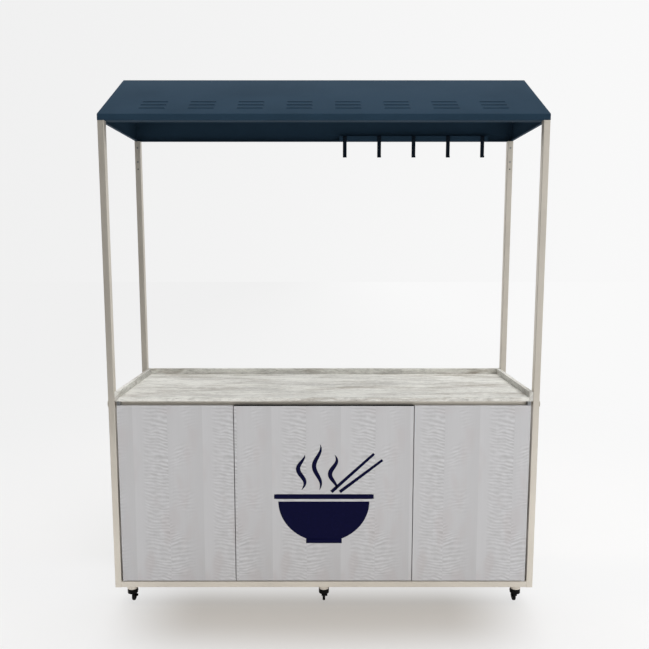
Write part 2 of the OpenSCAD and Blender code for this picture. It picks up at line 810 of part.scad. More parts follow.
// Fork: a round swivel housing with two cheeks, and the axle bolt with its nut
cheek_boss_r = axle_d / 2 + axle_wall;
module cheek_profile() {
    polygon([
        [trail - cheek_boss_r, axle_z], [0, housing_z + cheek_t],
        [housing_d / 2 - cheek_t, housing_z + cheek_t], [pedal_pin_y, pedal_pin_z + pedal_eye_r],
        [pedal_pin_y + pedal_eye_r, pedal_pin_z], [trail + cheek_boss_r, axle_z]
    ]);
    translate([trail, axle_z]) circle(cheek_boss_r);
    translate([pedal_pin_y, pedal_pin_z]) circle(pedal_eye_r);
}
module fork_frame() {
    difference() {
        union() {
            translate([0, 0, housing_z]) cylinder(d = housing_d, h = housing_h - rivet_gap);
            for (side = [-1, 1]) translate([side * (cheek_in + cheek_t / 2), 0, 0])
                along_x(cheek_t) cheek_profile();
        }
        translate([0, 0, caster_h - collar_h - rivet_gap])
            cylinder(d = collar_d + 2 * rivet_gap, h = collar_h + cut);
        translate([0, 0, housing_z - cut]) cylinder(d = kingpin_d + 2 * run_gap, h = housing_h);
        translate([0, trail, axle_z]) along_x(2 * cheek_out + 2 * cut) circle(d = axle_d + 2 * pin_fit);
        translate([0, pedal_pin_y, pedal_pin_z])
            along_x(2 * cheek_out + 2 * cut) circle(d = pedal_pin_d + 2 * run_gap);
    }
}
axle_head_d = 1.5 * axle_d;
module fork_axle() {
    translate([0, trail, axle_z]) {
        along_x(2 * cheek_out) circle(d = axle_d);
        translate([-cheek_out - axle_head_h / 2, 0, 0]) along_x(axle_head_h) circle(d = axle_head_d);
        translate([cheek_out + axle_nut_h / 2, 0, 0]) along_x(axle_nut_h) circle(d = axle_head_d);
    }
}
module fork() {
    color(black_plastic) {
        fork_frame();
        fork_axle();
    }
}
module fork_front_left() { caster_at(-1, -1, turn_front_left) fork(); }
module fork_front_middle() { caster_at(0, -1, turn_front_middle) fork(); }
module fork_front_right() { caster_at(1, -1, turn_front_right) fork(); }
module fork_rear_left() { caster_at(-1, 1, turn_rear_left) fork(); }
module fork_rear_middle() { caster_at(0, 1, turn_rear_middle) fork(); }
module fork_rear_right() { caster_at(1, 1, turn_rear_right) fork(); }

// Wheel: a tyre with rounded shoulders on a hub with a thinner web
tyre_shoulder = wheel_w / 4;
hub_rim = axle_wall;
web_t = wheel_w / 2;
hub_boss_d = 2 * axle_d;
module about_axle() {
    translate([0, trail, axle_z]) rotate([0, 90, 0]) rotate_extrude() children();
}
module tyre_profile() {
    reach = wheel_d / 2 - tyre_shoulder;
    side = wheel_w / 2 - tyre_shoulder;
    translate([hub_d / 2, -wheel_w / 2]) square([reach - hub_d / 2, wheel_w]);
    translate([hub_d / 2, -side]) square([wheel_d / 2 - hub_d / 2, 2 * side]);
    for (s = [-1, 1]) translate([reach, s * side]) circle(tyre_shoulder);
}
module hub_profile() {
    bore = axle_d / 2 + run_gap;
    translate([bore, -web_t / 2]) square([hub_d / 2 - bore, web_t]);
    translate([bore, -wheel_w / 2]) square([hub_boss_d / 2 - bore, wheel_w]);
    translate([hub_d / 2 - hub_rim, -wheel_w / 2]) square([hub_rim, wheel_w]);
}
module wheel() {
    color(black_plastic) {
        about_axle() tyre_profile();
        about_axle() hub_profile();
    }
}
module wheel_front_left() { caster_at(-1, -1, turn_front_left) wheel(); }
module wheel_front_middle() { caster_at(0, -1, turn_front_middle) wheel(); }
module wheel_front_right() { caster_at(1, -1, turn_front_right) wheel(); }
module wheel_rear_left() { caster_at(-1, 1, turn_rear_left) wheel(); }
module wheel_rear_middle() { caster_at(0, 1, turn_rear_middle) wheel(); }
module wheel_rear_right() { caster_at(1, 1, turn_rear_right) wheel(); }

// Brake pedal: an eye with its pivot between the cheeks and a tread outside them
module pedal() {
    eye_w = 2 * cheek_in - 2 * rivet_gap;
    color(black_plastic) translate([0, pedal_pin_y, pedal_pin_z]) {
        along_x(2 * cheek_out) circle(d = pedal_pin_d);
        along_x(eye_w) circle(pedal_eye_r);
        rotate([-pedal_slope, 0, 0]) {
            slab([-eye_w / 2, 0, pedal_eye_r - pedal_t], [eye_w / 2, pedal_eye_r + cheek_t, pedal_eye_r]);
            slab([-pedal_w / 2, pedal_eye_r + rivet_gap, pedal_eye_r - pedal_t],
                 [pedal_w / 2, pedal_len, pedal_eye_r]);
        }
    }
}
module pedal_front_left() { caster_at(-1, -1, turn_front_left) pedal(); }
module pedal_front_middle() { caster_at(0, -1, turn_front_middle) pedal(); }
module pedal_front_right() { caster_at(1, -1, turn_front_right) pedal(); }

leg_front_left();
leg_front_right();
leg_rear_left();
leg_rear_right();
post_front_left();
post_front_right();
post_rear_left();
post_rear_right();
rail_bottom_front();
rail_bottom_rear();
rail_top_front();
rail_top_rear();
side_rails();
cross_members();
spigots();
joint_plates();
frame_screws();
base_board();
partition_left();
partition_right();
shelves();
shelf_pins();
side_panel_left();
side_panel_right();
centre_panel();
panel_brackets();
door_left();
door_right();
strikes_left();
strikes_right();
door_pivots();
door_magnets();
worktop();
upstand_left();
upstand_right();
upstand_back();
canopy_front();
canopy_rear();
canopy_end_left();
canopy_end_right();
hook_rail();
hooks();
hook_screws();
caster_bosses();
caster_stems();
fork_front_left();
fork_front_middle();
fork_front_right();
fork_rear_left();
fork_rear_middle();
fork_rear_right();
wheel_front_left();
wheel_front_middle();
wheel_front_right();
wheel_rear_left();
wheel_rear_middle();
wheel_rear_right();
pedal_front_left();
pedal_front_middle();
pedal_front_right();
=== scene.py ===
# %% [markdown]
# # Food cart
# A food cart on six casters: a cupboard with two pivoting doors, a worktop with upstands
# and a louvred sheet canopy on four tube posts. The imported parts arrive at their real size,
# in metres, and stay where they are. This lesson gives each of them its finish. Where the
# real piece has softer edges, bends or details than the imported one, a new piece is worked
# out with numpy, or made from a copy, and stands in for it.

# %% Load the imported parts
import json
import math

import bmesh
import bpy
import numpy as np
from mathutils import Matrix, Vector

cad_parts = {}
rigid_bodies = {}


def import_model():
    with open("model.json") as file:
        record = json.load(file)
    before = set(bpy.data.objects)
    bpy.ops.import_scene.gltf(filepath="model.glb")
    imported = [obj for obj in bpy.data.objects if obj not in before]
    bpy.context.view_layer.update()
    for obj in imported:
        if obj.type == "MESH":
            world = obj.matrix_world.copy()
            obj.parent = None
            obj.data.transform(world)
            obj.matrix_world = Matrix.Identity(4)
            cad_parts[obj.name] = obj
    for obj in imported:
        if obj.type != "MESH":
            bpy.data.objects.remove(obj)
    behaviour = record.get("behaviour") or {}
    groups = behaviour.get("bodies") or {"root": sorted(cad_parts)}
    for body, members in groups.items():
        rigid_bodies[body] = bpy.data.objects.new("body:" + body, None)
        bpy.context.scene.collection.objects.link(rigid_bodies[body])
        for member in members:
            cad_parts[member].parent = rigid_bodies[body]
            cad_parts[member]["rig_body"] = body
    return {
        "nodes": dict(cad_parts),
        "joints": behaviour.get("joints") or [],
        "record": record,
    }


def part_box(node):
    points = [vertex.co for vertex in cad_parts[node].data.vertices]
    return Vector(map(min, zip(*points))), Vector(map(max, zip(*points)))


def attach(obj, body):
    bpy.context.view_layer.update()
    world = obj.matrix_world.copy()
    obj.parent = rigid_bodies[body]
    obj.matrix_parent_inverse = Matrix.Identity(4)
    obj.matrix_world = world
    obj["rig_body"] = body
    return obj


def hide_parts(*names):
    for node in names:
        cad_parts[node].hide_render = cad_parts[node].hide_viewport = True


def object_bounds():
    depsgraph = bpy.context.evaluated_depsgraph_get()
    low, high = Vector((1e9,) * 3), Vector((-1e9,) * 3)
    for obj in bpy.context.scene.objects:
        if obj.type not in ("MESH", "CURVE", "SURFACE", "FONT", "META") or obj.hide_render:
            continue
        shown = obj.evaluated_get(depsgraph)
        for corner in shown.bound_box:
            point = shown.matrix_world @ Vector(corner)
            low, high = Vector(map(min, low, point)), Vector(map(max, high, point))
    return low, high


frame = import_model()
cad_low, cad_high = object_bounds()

NODES = frame["nodes"]
JOINTS = {joint["name"]: joint for joint in frame["joints"]}
MM = 0.001
print("parts:", len(NODES), "joints:", len(JOINTS))
print("size:", [round(v, 3) for v in cad_high - cad_low])

# %% [markdown]
# ## Camera
# The photograph was taken from the front, a little below the canopy and tilted slightly
# down. The camera could be placed by eye, but solving it from the converging posts gives
# its height, distance and focal length at once, so that the render lines up with the
# photograph. The focal length is in pixels of the square frame and becomes a lens here.

# %% Place the camera
FRAME_SIDE = 649
FOCAL_PIXELS = 651.9
SENSOR = 36.0
CAMERA_PLACE = (0.003, -3.258, 1.716)
CAMERA_TILT = math.radians(-6.69)

camera_data = bpy.data.cameras.new("camera")
camera_data.sensor_width = SENSOR
camera_data.lens = SENSOR * FOCAL_PIXELS / FRAME_SIDE
camera = bpy.data.objects.new("camera", camera_data)
camera.location = CAMERA_PLACE
camera.rotation_euler = (math.radians(90) + CAMERA_TILT, 0, 0)
bpy.context.scene.collection.objects.link(camera)
bpy.context.scene.camera = camera
bpy.context.scene.view_settings.view_transform = "Standard"
print("lens:", round(camera_data.lens, 2), "mm")

# %% [markdown]
# ## Shader maths
# A finish is a network of nodes, and most of them only add or multiply numbers. Linking
# such nodes by hand hides the formula, so a small class stands for a number that varies
# over the surface: its operators add the Math nodes. One method makes any other node from
# its settings, such as a Math node's operation, and the values or links of its sockets.

# %% A number that varies over a surface
class Varying:
    """A socket's number; +, -, *, / and the named functions add Math nodes after it."""

    def __init__(self, finish, socket):
        self.finish = finish
        self.socket = socket

    def __add__(self, other):
        return self.finish.math("ADD", self, other)

    def __sub__(self, other):
        return self.finish.math("SUBTRACT", self, other)

    def __mul__(self, other):
        return self.finish.math("MULTIPLY", self, other)

    def __truediv__(self, other):
        return self.finish.math("DIVIDE", self, other)

    def __radd__(self, other):
        return self.finish.math("ADD", other, self)

    def __rsub__(self, other):
        return self.finish.math("SUBTRACT", other, self)

    def __rmul__(self, other):
        return self.finish.math("MULTIPLY", other, self)

    def away(self, middle):
        """Distance from a middle value, without its sign."""
        return self.finish.math("ABSOLUTE", self - middle)

    def fraction(self):
        """What is left above the whole number below."""
        return self.finish.math("FRACT", self)

    def step(self, start, end):
        """0 before start, 1 after end, smooth between them; start may be the larger."""
        return self.finish.node(
            "ShaderNodeMapRange",
            {"interpolation_type": "SMOOTHSTEP"},
            {"Value": self, "From Min": start, "From Max": end},
        )


# %% A procedural finish
MIX_FACTOR, MIX_A, MIX_B, MIX_RESULT = 0, 6, 7, 2


def linear(*rgb):
    """Linear colour of an sRGB colour in the range 0 to 255: ((c + 0.055) / 1.055) ^ 2.4."""
    c = np.array(rgb) / 255
    return (*np.where(c <= 0.04045, c / 12.92, ((c + 0.055) / 1.055) ** 2.4).tolist(), 1.0)


class Finish:
    """The nodes of one material, or of the world, built one by one."""

    def __init__(self, holder):
        holder.use_nodes = True
        self.holder = holder
        self.tree = holder.node_tree
        self.tree.nodes.clear()

    def node(self, kind, settings=None, sockets=None, output=0):
        """Makes a node: its settings first, then the values or links of its sockets."""
        made = self.tree.nodes.new(kind)
        for name, value in (settings or {}).items():
            setattr(made, name, value)
        for key, value in (sockets or {}).items():
            if isinstance(value, Varying):
                self.tree.links.new(value.socket, made.inputs[key])
            else:
                made.inputs[key].default_value = value
        return Varying(self, made.outputs[output]) if len(made.outputs) else None

    def math(self, operation, *values):
        """One Math node."""
        return self.node("ShaderNodeMath", {"operation": operation}, dict(enumerate(values)))

    def places(self):
        """X, Y and Z of the surface in the cart's own frame, in metres."""
        here = self.node("ShaderNodeTexCoord", output="Object")
        split = self.node("ShaderNodeSeparateXYZ", sockets={0: here}).socket.node
        return [Varying(self, split.outputs[axis]) for axis in "XYZ"]

    def noise(self, x, y, z, detail=2.0, roughness=0.5):
        """Noise from 0 to 1 at a point whose coordinates are stretched by the caller."""
        point = self.node("ShaderNodeCombineXYZ", sockets={0: x, 1: y, 2: z})
        return self.node(
            "ShaderNodeTexNoise",
            sockets={"Vector": point, "Scale": 1.0, "Detail": detail, "Roughness": roughness},
        )

    def mix(self, factor, first, second):
        """Colour that goes from first to second as factor goes from 0 to 1."""
        return self.node(
            "ShaderNodeMix",
            {"data_type": "RGBA"},
            {MIX_FACTOR: factor, MIX_A: first, MIX_B: second},
            MIX_RESULT,
        )

    def bump(self, height, distance):
        """Surface relief; distance is what a height of 1 stands for, in metres."""
        return self.node(
            "ShaderNodeBump",
            sockets={"Height": height, "Distance": distance, "Strength": 1.0},
        )

    def surface(self, **sockets):
        """Ends the finish with a Principled shader; underscores stand for spaces."""
        named = {key.replace("_", " "): value for key, value in sockets.items()}
        shader = self.node("ShaderNodeBsdfPrincipled", sockets=named)
        self.node("ShaderNodeOutputMaterial", sockets={"Surface": shader})
        return self.holder


print("middle grey in linear light:", round(linear(128, 128, 128)[0], 3))

# %% [markdown]
# ## Powder coat
# The frame and the canopy are powder coated steel. The powder melts into a film with a
# faint orange peel, about a millimetre and a half from dimple to dimple. The beige coat of
# the frame holds metal flakes, so it mirrors its surroundings softly: the right posts
# face a bright softbox and the left ones a darker room. A plain colour would look like
# plastic, so each coat gets the peel as bump and a slow drift of its colour. Powder
# doesn't reach far into a tube, so the posts are bare steel inside. That steel is painted
# near black as the shade inside the tube. It shows through the small holes near their
# tops, and a distance from the tube's axis finds it.

# %% Powder coat finishes
PEEL = 650
FRAME_COAT = linear(224, 217, 205)
FRAME_COAT_DULL = linear(216, 209, 197)
CANOPY_COAT = linear(40, 59, 75)
CANOPY_COAT_DULL = linear(37, 55, 70)
# painted shade: the hooks' navy is a darker copy of the canopy's, for hooks seen against the light
HOOK_COAT_SHADED = linear(15, 25, 35)
HOOK_COAT_SHADED_DULL = linear(18, 29, 40)
BARE_STEEL_AND_SHADE = linear(14, 13, 12)
POST_X, POST_Y, _ = sum(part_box("post_rear_right"), Vector()) / 2
INNER_WALL = 13.3 * MM
OUTER_WALL = 13.9 * MM


def powder_coat(name, colour, dull, metallic, roughness, specular=0.5, shade_inside_posts=False):
    """Peel in the bump, slow clouds in the colour; dark on the inner walls of the posts.

    off_axis is the larger of the distances from the post's axis along X and along Y: 13 mm
    on an inner wall of the 30 mm tube, and over 14 mm all round the outside. On the inner
    walls the coat gives way to near-black bare steel, which is painted shade for the inside
    of the tube.
    """
    finish = Finish(bpy.data.materials.new(name))
    x, y, z = finish.places()
    clouds = finish.noise(x * 3, y * 3, z * 3, detail=4)
    peel = finish.noise(x * PEEL, y * PEEL, z * PEEL, detail=1)
    coat = finish.mix(clouds.step(0.35, 0.75), colour, dull)
    if shade_inside_posts:
        # painted shade: near-black bare steel on the posts' inner walls stands for the dark inside
        # the tube
        off_axis = finish.math("MAXIMUM", x.away(0).away(POST_X), y.away(0).away(POST_Y))
        coat = finish.mix(off_axis.step(OUTER_WALL, INNER_WALL), coat, BARE_STEEL_AND_SHADE)
    return finish.surface(
        Base_Color=coat,
        Metallic=metallic,
        Roughness=roughness + 0.08 * clouds,
        Specular_IOR_Level=specular,
        Normal=finish.bump(peel, 0.02 * MM),
    )


frame_coat = powder_coat(
    "frame_paint", FRAME_COAT, FRAME_COAT_DULL, metallic=0.6, roughness=0.34, shade_inside_posts=True
)
canopy_coat = powder_coat(
    "canopy_paint", CANOPY_COAT, CANOPY_COAT_DULL, metallic=0.0, roughness=0.5, specular=0.02
)
shaded_hook_coat = powder_coat(
    "hook_paint", HOOK_COAT_SHADED, HOOK_COAT_SHADED_DULL, metallic=0.0, roughness=0.5, specular=0.1
)
print("coats:", frame_coat.name, canopy_coat.name, shaded_hook_coat.name)

# %% [markdown]
# ## Figured laminate
# The cupboard's boards carry a pale grey print of figured sycamore. Two leaves of veneer,
# opened like a book, make one repeat: bright and dark ripples run down to the book's fold
# from both sides and die away towards the outer edges of the leaves. The print could be a
# photograph, but a formula stays sharp at any distance: the distance from the fold bends
# the height, and a sine and stretched noise are read at that bent height. Depth bends it
# too, so that the side panels and the shelves carry ripples of their own.

# %% Laminate finish
REPEAT = 0.3234
FOLD_PLACE = -0.705
RIPPLE_SLOPE = 0.19
RIPPLE_PITCH = 0.0175
RIPPLE_LEAN = 0.25
RIPPLE_START = 0.105
PRINT_LIGHT = linear(220, 220, 222)
PRINT_DARK = linear(173, 172, 173)
PRINT_WARM = linear(190, 182, 182)


def figured_laminate(name):
    """Ripples are sin(2 pi (w / pitch + sway)) with w = z + lean * y - slope * |u - fold|.

    leaf runs from 0 to 1 over one repeat, fold is the distance from the book's fold, left is 1
    on the left leaf, and show is how strongly the ripples come out. A tone of 0 is dark.
    """
    finish = Finish(bpy.data.materials.new(name))
    x, y, z = finish.places()
    along = x + y
    leaf = ((along - FOLD_PLACE) / REPEAT + 0.5).fraction()
    fold = leaf.away(0.5) * REPEAT
    left = (leaf - 0.5).step(0.004, -0.004)
    bent = z + RIPPLE_LEAN * y - RIPPLE_START - RIPPLE_SLOPE * fold
    sway = finish.noise(leaf * 3.0 + left * 7, bent * 11, y * 3, detail=2)
    broken = finish.noise(leaf * 9.0, bent * 75 + left * 5, y * 3, detail=3, roughness=0.6)
    wave = finish.math("SINE", (bent / RIPPLE_PITCH + sway * 3.4 + left * 0.4) * (2 * math.pi))
    ripple = 0.55 * wave + 3.0 * (broken - 0.5)
    patch = finish.noise(leaf * 2.5 + left * 3, z * 6.5, y * 6, detail=1)
    reach_left = fold.step(0.128, 0.100) * (0.62 + 0.38 * fold.step(0.09, 0.0))
    reach_right = fold.step(0.155, 0.02) * patch.step(0.38, 0.62)
    show = left * reach_left * (0.6 + 0.7 * patch) + (1 - left) * reach_right * 0.95
    grain = finish.noise(along * 240, z * 5, y * 5, detail=3, roughness=0.6)
    drift = finish.noise(leaf * 3, z * 1.3, y * 1.3, detail=2)
    band = left * fold.step(0.09, 0.16) - (1 - left) * fold.step(0.04, 0.16)
    tone = 0.5 + 0.34 * ripple * show + 0.07 * band + 0.12 * (grain - 0.5) + 0.2 * (drift - 0.5)
    colour = finish.mix(tone.step(-0.15, 1.15), PRINT_DARK, PRINT_LIGHT)
    warm = finish.noise(leaf * 4, z * 5, y * 5, detail=1)
    colour = finish.mix(warm.step(0.5, 0.7) * 0.3, colour, PRINT_WARM)
    return finish.surface(
        Base_Color=colour,
        Roughness=0.50 - 0.08 * tone,
        Normal=finish.bump(tone, 0.03 * MM),
    )


laminate = figured_laminate("laminate_board")
print("laminate: repeat", REPEAT, "m")

# %% [markdown]
# ## Weathered worktop
# The worktop and its upstands carry a print of whitewashed, weathered planks: pale grey
# with grey-brown streaks along the grain and short dark pores. Noise that is stretched six
# times along the grain gives the streaks, and a finer one the pores. Where a third one is
# near its middle value it draws thin veins. The grain runs along the board's length, so
# the end upstands need the pattern turned.

# %% Worktop finish
WASH_LIGHT = linear(239, 238, 231)
WASH_GREY = linear(190, 188, 182)
WASH_BROWN = linear(154, 143, 129)
PORE = linear(112, 109, 101)


def weathered_wood(name, across_ends=False):
    """Streaks are noise stretched along the grain; across counts depth and height together.

    wash goes from the white ground to grey, dark marks the brown stretches, vein the thin
    lines and ticks the pores.
    """
    finish = Finish(bpy.data.materials.new(name))
    x, y, z = finish.places()
    along, across = (y, x - z) if across_ends else (x, y + z)
    bend = finish.noise(along * 3.2, across * 4, 0.0, detail=3, roughness=0.6)
    bent = across + 0.07 * bend
    streak = finish.noise(along * 5, bent * 30, 3.0, detail=8, roughness=0.8)
    fleck = finish.noise(along * 32, bent * 95, 11.0, detail=4, roughness=0.75)
    cloud = finish.noise(along * 2.2, bent * 9, 8.0, detail=3)
    knot = finish.noise(along * 1.5 + 0.35, bent * 6.5, 21.0, detail=2)
    wash = (streak * 0.42 + fleck * 0.30 + cloud * 0.28).step(0.41, 0.60)
    level = finish.noise(along * 1.7, bent * 13, 27.0, detail=4, roughness=0.6)
    vein = level.away(0.5).step(0.04, 0.0) * cloud.step(0.42, 0.58)
    dark = knot.step(0.54, 0.70) * streak.step(0.42, 0.62)
    colour = finish.mix(wash, WASH_LIGHT, WASH_GREY)
    colour = finish.mix(dark * 0.85, colour, WASH_BROWN)
    colour = finish.mix(vein * 0.4, colour, WASH_BROWN)
    ticks = fleck.step(0.58, 0.72) * cloud.step(0.38, 0.62)
    colour = finish.mix(ticks * 0.55, colour, PORE)
    return finish.surface(
        Base_Color=colour,
        Roughness=0.46 + 0.15 * wash,
        Normal=finish.bump(1 - 0.5 * ticks - 0.3 * streak, 0.08 * MM),
    )


worktop_wood = weathered_wood("worktop_board")
upstand_wood = weathered_wood("worktop_board_ends", across_ends=True)
print("worktop finishes:", worktop_wood.name, upstand_wood.name)

# %% [markdown]
# ## Zinc, black steel, rubber and nylon
# Screws, pivots and brackets are zinc plated: bright metal with cloudy patches. The
# casters are black: the forks are painted steel, the wheels a hard rubber tread on a nylon
# hub. Black parts are never quite black or even, so they get a dusty tone in patches.

# %% Metal and rubber finishes
ZINC_DARK = linear(150, 152, 154)
ZINC_LIGHT = linear(182, 184, 185)


def zinc_plate(name):
    """Metal with cells of slightly different brightness and roughness, and fine scratches."""
    finish = Finish(bpy.data.materials.new(name))
    x, y, z = finish.places()
    cloud = finish.noise(x * 160, y * 160, z * 160, detail=3)
    scratch = finish.noise(x * 2600, y * 260, z * 260, detail=1)
    return finish.surface(
        Base_Color=finish.mix(cloud.step(0.3, 0.7), ZINC_DARK, ZINC_LIGHT),
        Metallic=1.0,
        Roughness=0.32 + 0.2 * cloud,
        Normal=finish.bump(scratch, 0.01 * MM),
    )


def black_part(name, colour, dust, roughness, grain, specular):
    """Near black with a dusty tone in patches and a fine grain in the bump."""
    finish = Finish(bpy.data.materials.new(name))
    x, y, z = finish.places()
    patches = finish.noise(x * 60, y * 60, z * 60, detail=4, roughness=0.6)
    speck = finish.noise(x * grain, y * grain, z * grain, detail=2)
    return finish.surface(
        Base_Color=finish.mix(patches.step(0.45, 0.8), colour, dust),
        Roughness=roughness + 0.12 * patches,
        Specular_IOR_Level=specular,
        Normal=finish.bump(speck, 0.03 * MM),
    )


zinc = zinc_plate("zinc_steel")
caster_black = black_part(
    "caster_black", linear(4, 4, 4), linear(10, 10, 10), roughness=0.2, grain=900, specular=0.1
)
wheel_rubber = black_part(
    "wheel_rubber", linear(12, 12, 12), linear(30, 29, 28), roughness=0.5, grain=1500, specular=0.15
)
print("metal and rubber:", zinc.name, caster_black.name, wheel_rubber.name)

# %% [markdown]
# ## From numbers to meshes
# Most new pieces are surfaces on a grid: rows along a path and columns round an outline. A
# grid of points could be joined by hand, but the corner numbers follow a rule, so whole
# arrays give all faces at once. A shape here is a pair: its points and its faces. Shapes
# are joined, moved or turned as arrays before one of them becomes a mesh.

# %% Grids, joined shapes and pieces
CRISP = 32


def grid(points, wrap_rows=False, wrap_columns=False):
    """Shape of a (rows, columns, 3) array: corner (i, j) is point i * columns + j."""
    rows, columns = points.shape[:2]
    i = np.arange(rows if wrap_rows else rows - 1)[:, None]
    j = np.arange(columns if wrap_columns else columns - 1)[None, :]
    i_next, j_next = (i + 1) % rows, (j + 1) % columns
    here, above = i * columns, i_next * columns
    corners = [here + j, here + j_next, above + j_next, above + j]
    return points.reshape(-1, 3), np.stack(np.broadcast_arrays(*corners), -1).reshape(-1, 4)


def joined(shapes):
    """One shape of several: each set of faces counts on from the points before it."""
    counts = np.cumsum([0] + [len(points) for points, faces in shapes])
    points = np.concatenate([points for points, faces in shapes])
    faces = np.concatenate([faces + start for (_, faces), start in zip(shapes, counts)])
    return points, faces


def placed(shape, turn=np.eye(3), move=(0, 0, 0)):
    """The shape turned by a matrix whose rows are its new axes, then moved."""
    points, faces = shape
    return points @ np.asarray(turn, float) + np.asarray(move, float), faces


def tidy_mesh(mesh, sharp, closed=True):
    """Merges doubles, turns closed shapes outwards and keeps edges over sharp degrees crisp."""
    work = bmesh.new()
    work.from_mesh(mesh)
    bmesh.ops.remove_doubles(work, verts=work.verts, dist=0.002 * MM)
    bmesh.ops.dissolve_degenerate(work, edges=work.edges, dist=0.001 * MM)
    if closed:
        bmesh.ops.recalc_face_normals(work, faces=work.faces)
    work.to_mesh(mesh)
    work.free()
    mesh.shade_smooth()
    mesh.set_sharp_from_angle(angle=math.radians(sharp))


def show(name, mesh, finish, body, slot, node=None):
    """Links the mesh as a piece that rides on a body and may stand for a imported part."""
    mesh.materials.clear()
    mesh.materials.append(finish)
    made = bpy.data.objects.new(name, mesh)
    bpy.context.scene.collection.objects.link(made)
    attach(made, body)
    if node:
        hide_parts(node)
    return made


def piece(name, shape, finish, body, slot, node=None, sharp=CRISP, closed=True):
    """Mesh of a shape; an open sheet keeps the side its corners were listed on."""
    points, faces = shape
    mesh = bpy.data.meshes.new(name)
    mesh.from_pydata(points.tolist(), [], faces.tolist())
    tidy_mesh(mesh, sharp, closed)
    return show(name, mesh, finish, body, slot, node)


def settled(made, sharp):
    """The modifiers' result becomes the mesh itself, with edges over sharp degrees crisp."""
    result = made.evaluated_get(bpy.context.evaluated_depsgraph_get())
    mesh = bpy.data.meshes.new_from_object(result)
    made.modifiers.clear()
    made.data = mesh
    tidy_mesh(mesh, sharp)
    return made


def body_of(node):
    """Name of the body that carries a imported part."""
    return NODES[node]["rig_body"]


print("faces of a grid of 3 by 4 points:", len(grid(np.zeros((3, 4, 3)))[1]))

# %% [markdown]
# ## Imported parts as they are
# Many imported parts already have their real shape: tubes with round corners, pins, magnets
# and shelf pins. They only need their finish, which is assigned to the slot of the mesh.
# Every part gets one here first, by its kind, and some are replaced further down.

# %% Assign the finishes
FINISH_OF_SLOT = {
    "frame_paint": frame_coat,
    "canopy_paint": canopy_coat,
    "hook_paint": shaded_hook_coat,
    "laminate_board": laminate,
    "worktop_board": worktop_wood,
    "zinc_steel": zinc,
    "caster_black": caster_black,
    "wheel_rubber": wheel_rubber,
}
SLOT_OF_NODE = {row["node"]: row["material_slot"] for row in frame["record"]["subparts"]}

for name, part in NODES.items():
    part.data.materials.clear()
    part.data.materials.append(FINISH_OF_SLOT[SLOT_OF_NODE[name]])
print("finishes by slot:", sorted(set(SLOT_OF_NODE.values())))

# %% [markdown]
# ## Eased edges
# No board or pressed part has a perfectly sharp edge: laminate edges are trimmed with a
# small radius, and steel is deburred. Light catches that radius as a thin bright line. The
# shape underneath is right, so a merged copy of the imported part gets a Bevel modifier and
# stands in for it. The holes in the part stay.

# %% Boards, brackets and forks with eased edges
EASING = {
    "worktop": 1.2, "upstand_left": 1.2, "upstand_right": 1.2, "upstand_back": 1.2,
    "door_left": 0.8, "door_right": 0.8, "centre_panel": 0.8,
    "partition_left": 0.8, "partition_right": 0.8, "shelves": 0.8, "base_board": 0.8,
    "side_panel_left": 0.8, "side_panel_right": 0.8,
    "joint_plates": 0.4, "panel_brackets": 0.4, "door_pivots": 0.5,
    "canopy_end_left": 0.4, "canopy_end_right": 0.4, "caster_bosses": 1.5,
    **{name: 0.5 for name in NODES if name.startswith(("fork_", "pedal_"))},
}
OWN_FINISH = {"upstand_left": upstand_wood, "upstand_right": upstand_wood}
EASED_OVER = 40


def eased(node, radius):
    """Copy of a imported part: doubles merged, flat faces joined, sharp edges eased."""
    mesh = NODES[node].data.copy()
    mesh.name = node + "_eased"
    if "custom_normal" in mesh.attributes:
        mesh.attributes.remove(mesh.attributes["custom_normal"])
    tidy_mesh(mesh, CRISP)
    work = bmesh.new()
    work.from_mesh(mesh)
    bmesh.ops.dissolve_limit(
        work, angle_limit=math.radians(0.5), verts=work.verts, edges=work.edges
    )
    work.to_mesh(mesh)
    work.free()
    slot = SLOT_OF_NODE[node]
    finish = OWN_FINISH.get(node, FINISH_OF_SLOT[slot])
    made = show(mesh.name, mesh, finish, body_of(node), slot, node)
    bevel = made.modifiers.new("eased edges", "BEVEL")
    bevel.width = radius * MM
    bevel.segments = 2
    bevel.limit_method = "ANGLE"
    bevel.angle_limit = math.radians(EASED_OVER)
    bevel.harden_normals = True


for node, radius in EASING.items():
    eased(node, radius)
print("eased parts:", len(EASING))

# %% [markdown]
# ## Canopy sheets
# Each slope of the canopy is one steel sheet, folded at the eave and at the ridge, with
# rows of louvres pressed up from it. A fold in real sheet is a small arc, not a corner. The
# sheet is a surface of two parameters: the distance along the folded outline and the
# distance along the cart. A louvre raises that surface by a ramp times a rounded bump, and
# at its mouth two rows of the grid lie on the same line, one raised and one flat, with no
# faces between them. A Solidify modifier then gives the sheet its thickness.

# %% Arcs at the folds
def unit(v):
    """The vector at a length of 1."""
    return v / np.linalg.norm(v)


def arc(before, corner, after, radius, steps=6):
    """Points of the arc that rounds a corner between two straight runs.

    With m the unit bisector into the corner, c the unit vector across it and lean the cosine
    of half the turn: centre = corner + m * radius / lean, and the points are
    centre - radius * cos(a) * m + radius * sin(a) * c for a from -turn / 2 to turn / 2.
    """
    back, ahead = unit(before - corner), unit(after - corner)
    inward, across = unit(back + ahead), unit(ahead - back)
    lean = float(across @ ahead)
    a = np.linspace(-1, 1, steps + 1)[:, None] * math.acos(lean)
    return corner + inward * (radius / lean - radius * np.cos(a)) + radius * np.sin(a) * across


def smooth(t):
    """0 below 0, 1 above 1 and t * t * (3 - 2 t) between."""
    t = np.clip(t, 0, 1)
    return t * t * (3 - 2 * t)


print("smooth at a quarter, half and three quarters:", smooth(np.array([0.25, 0.5, 0.75])))

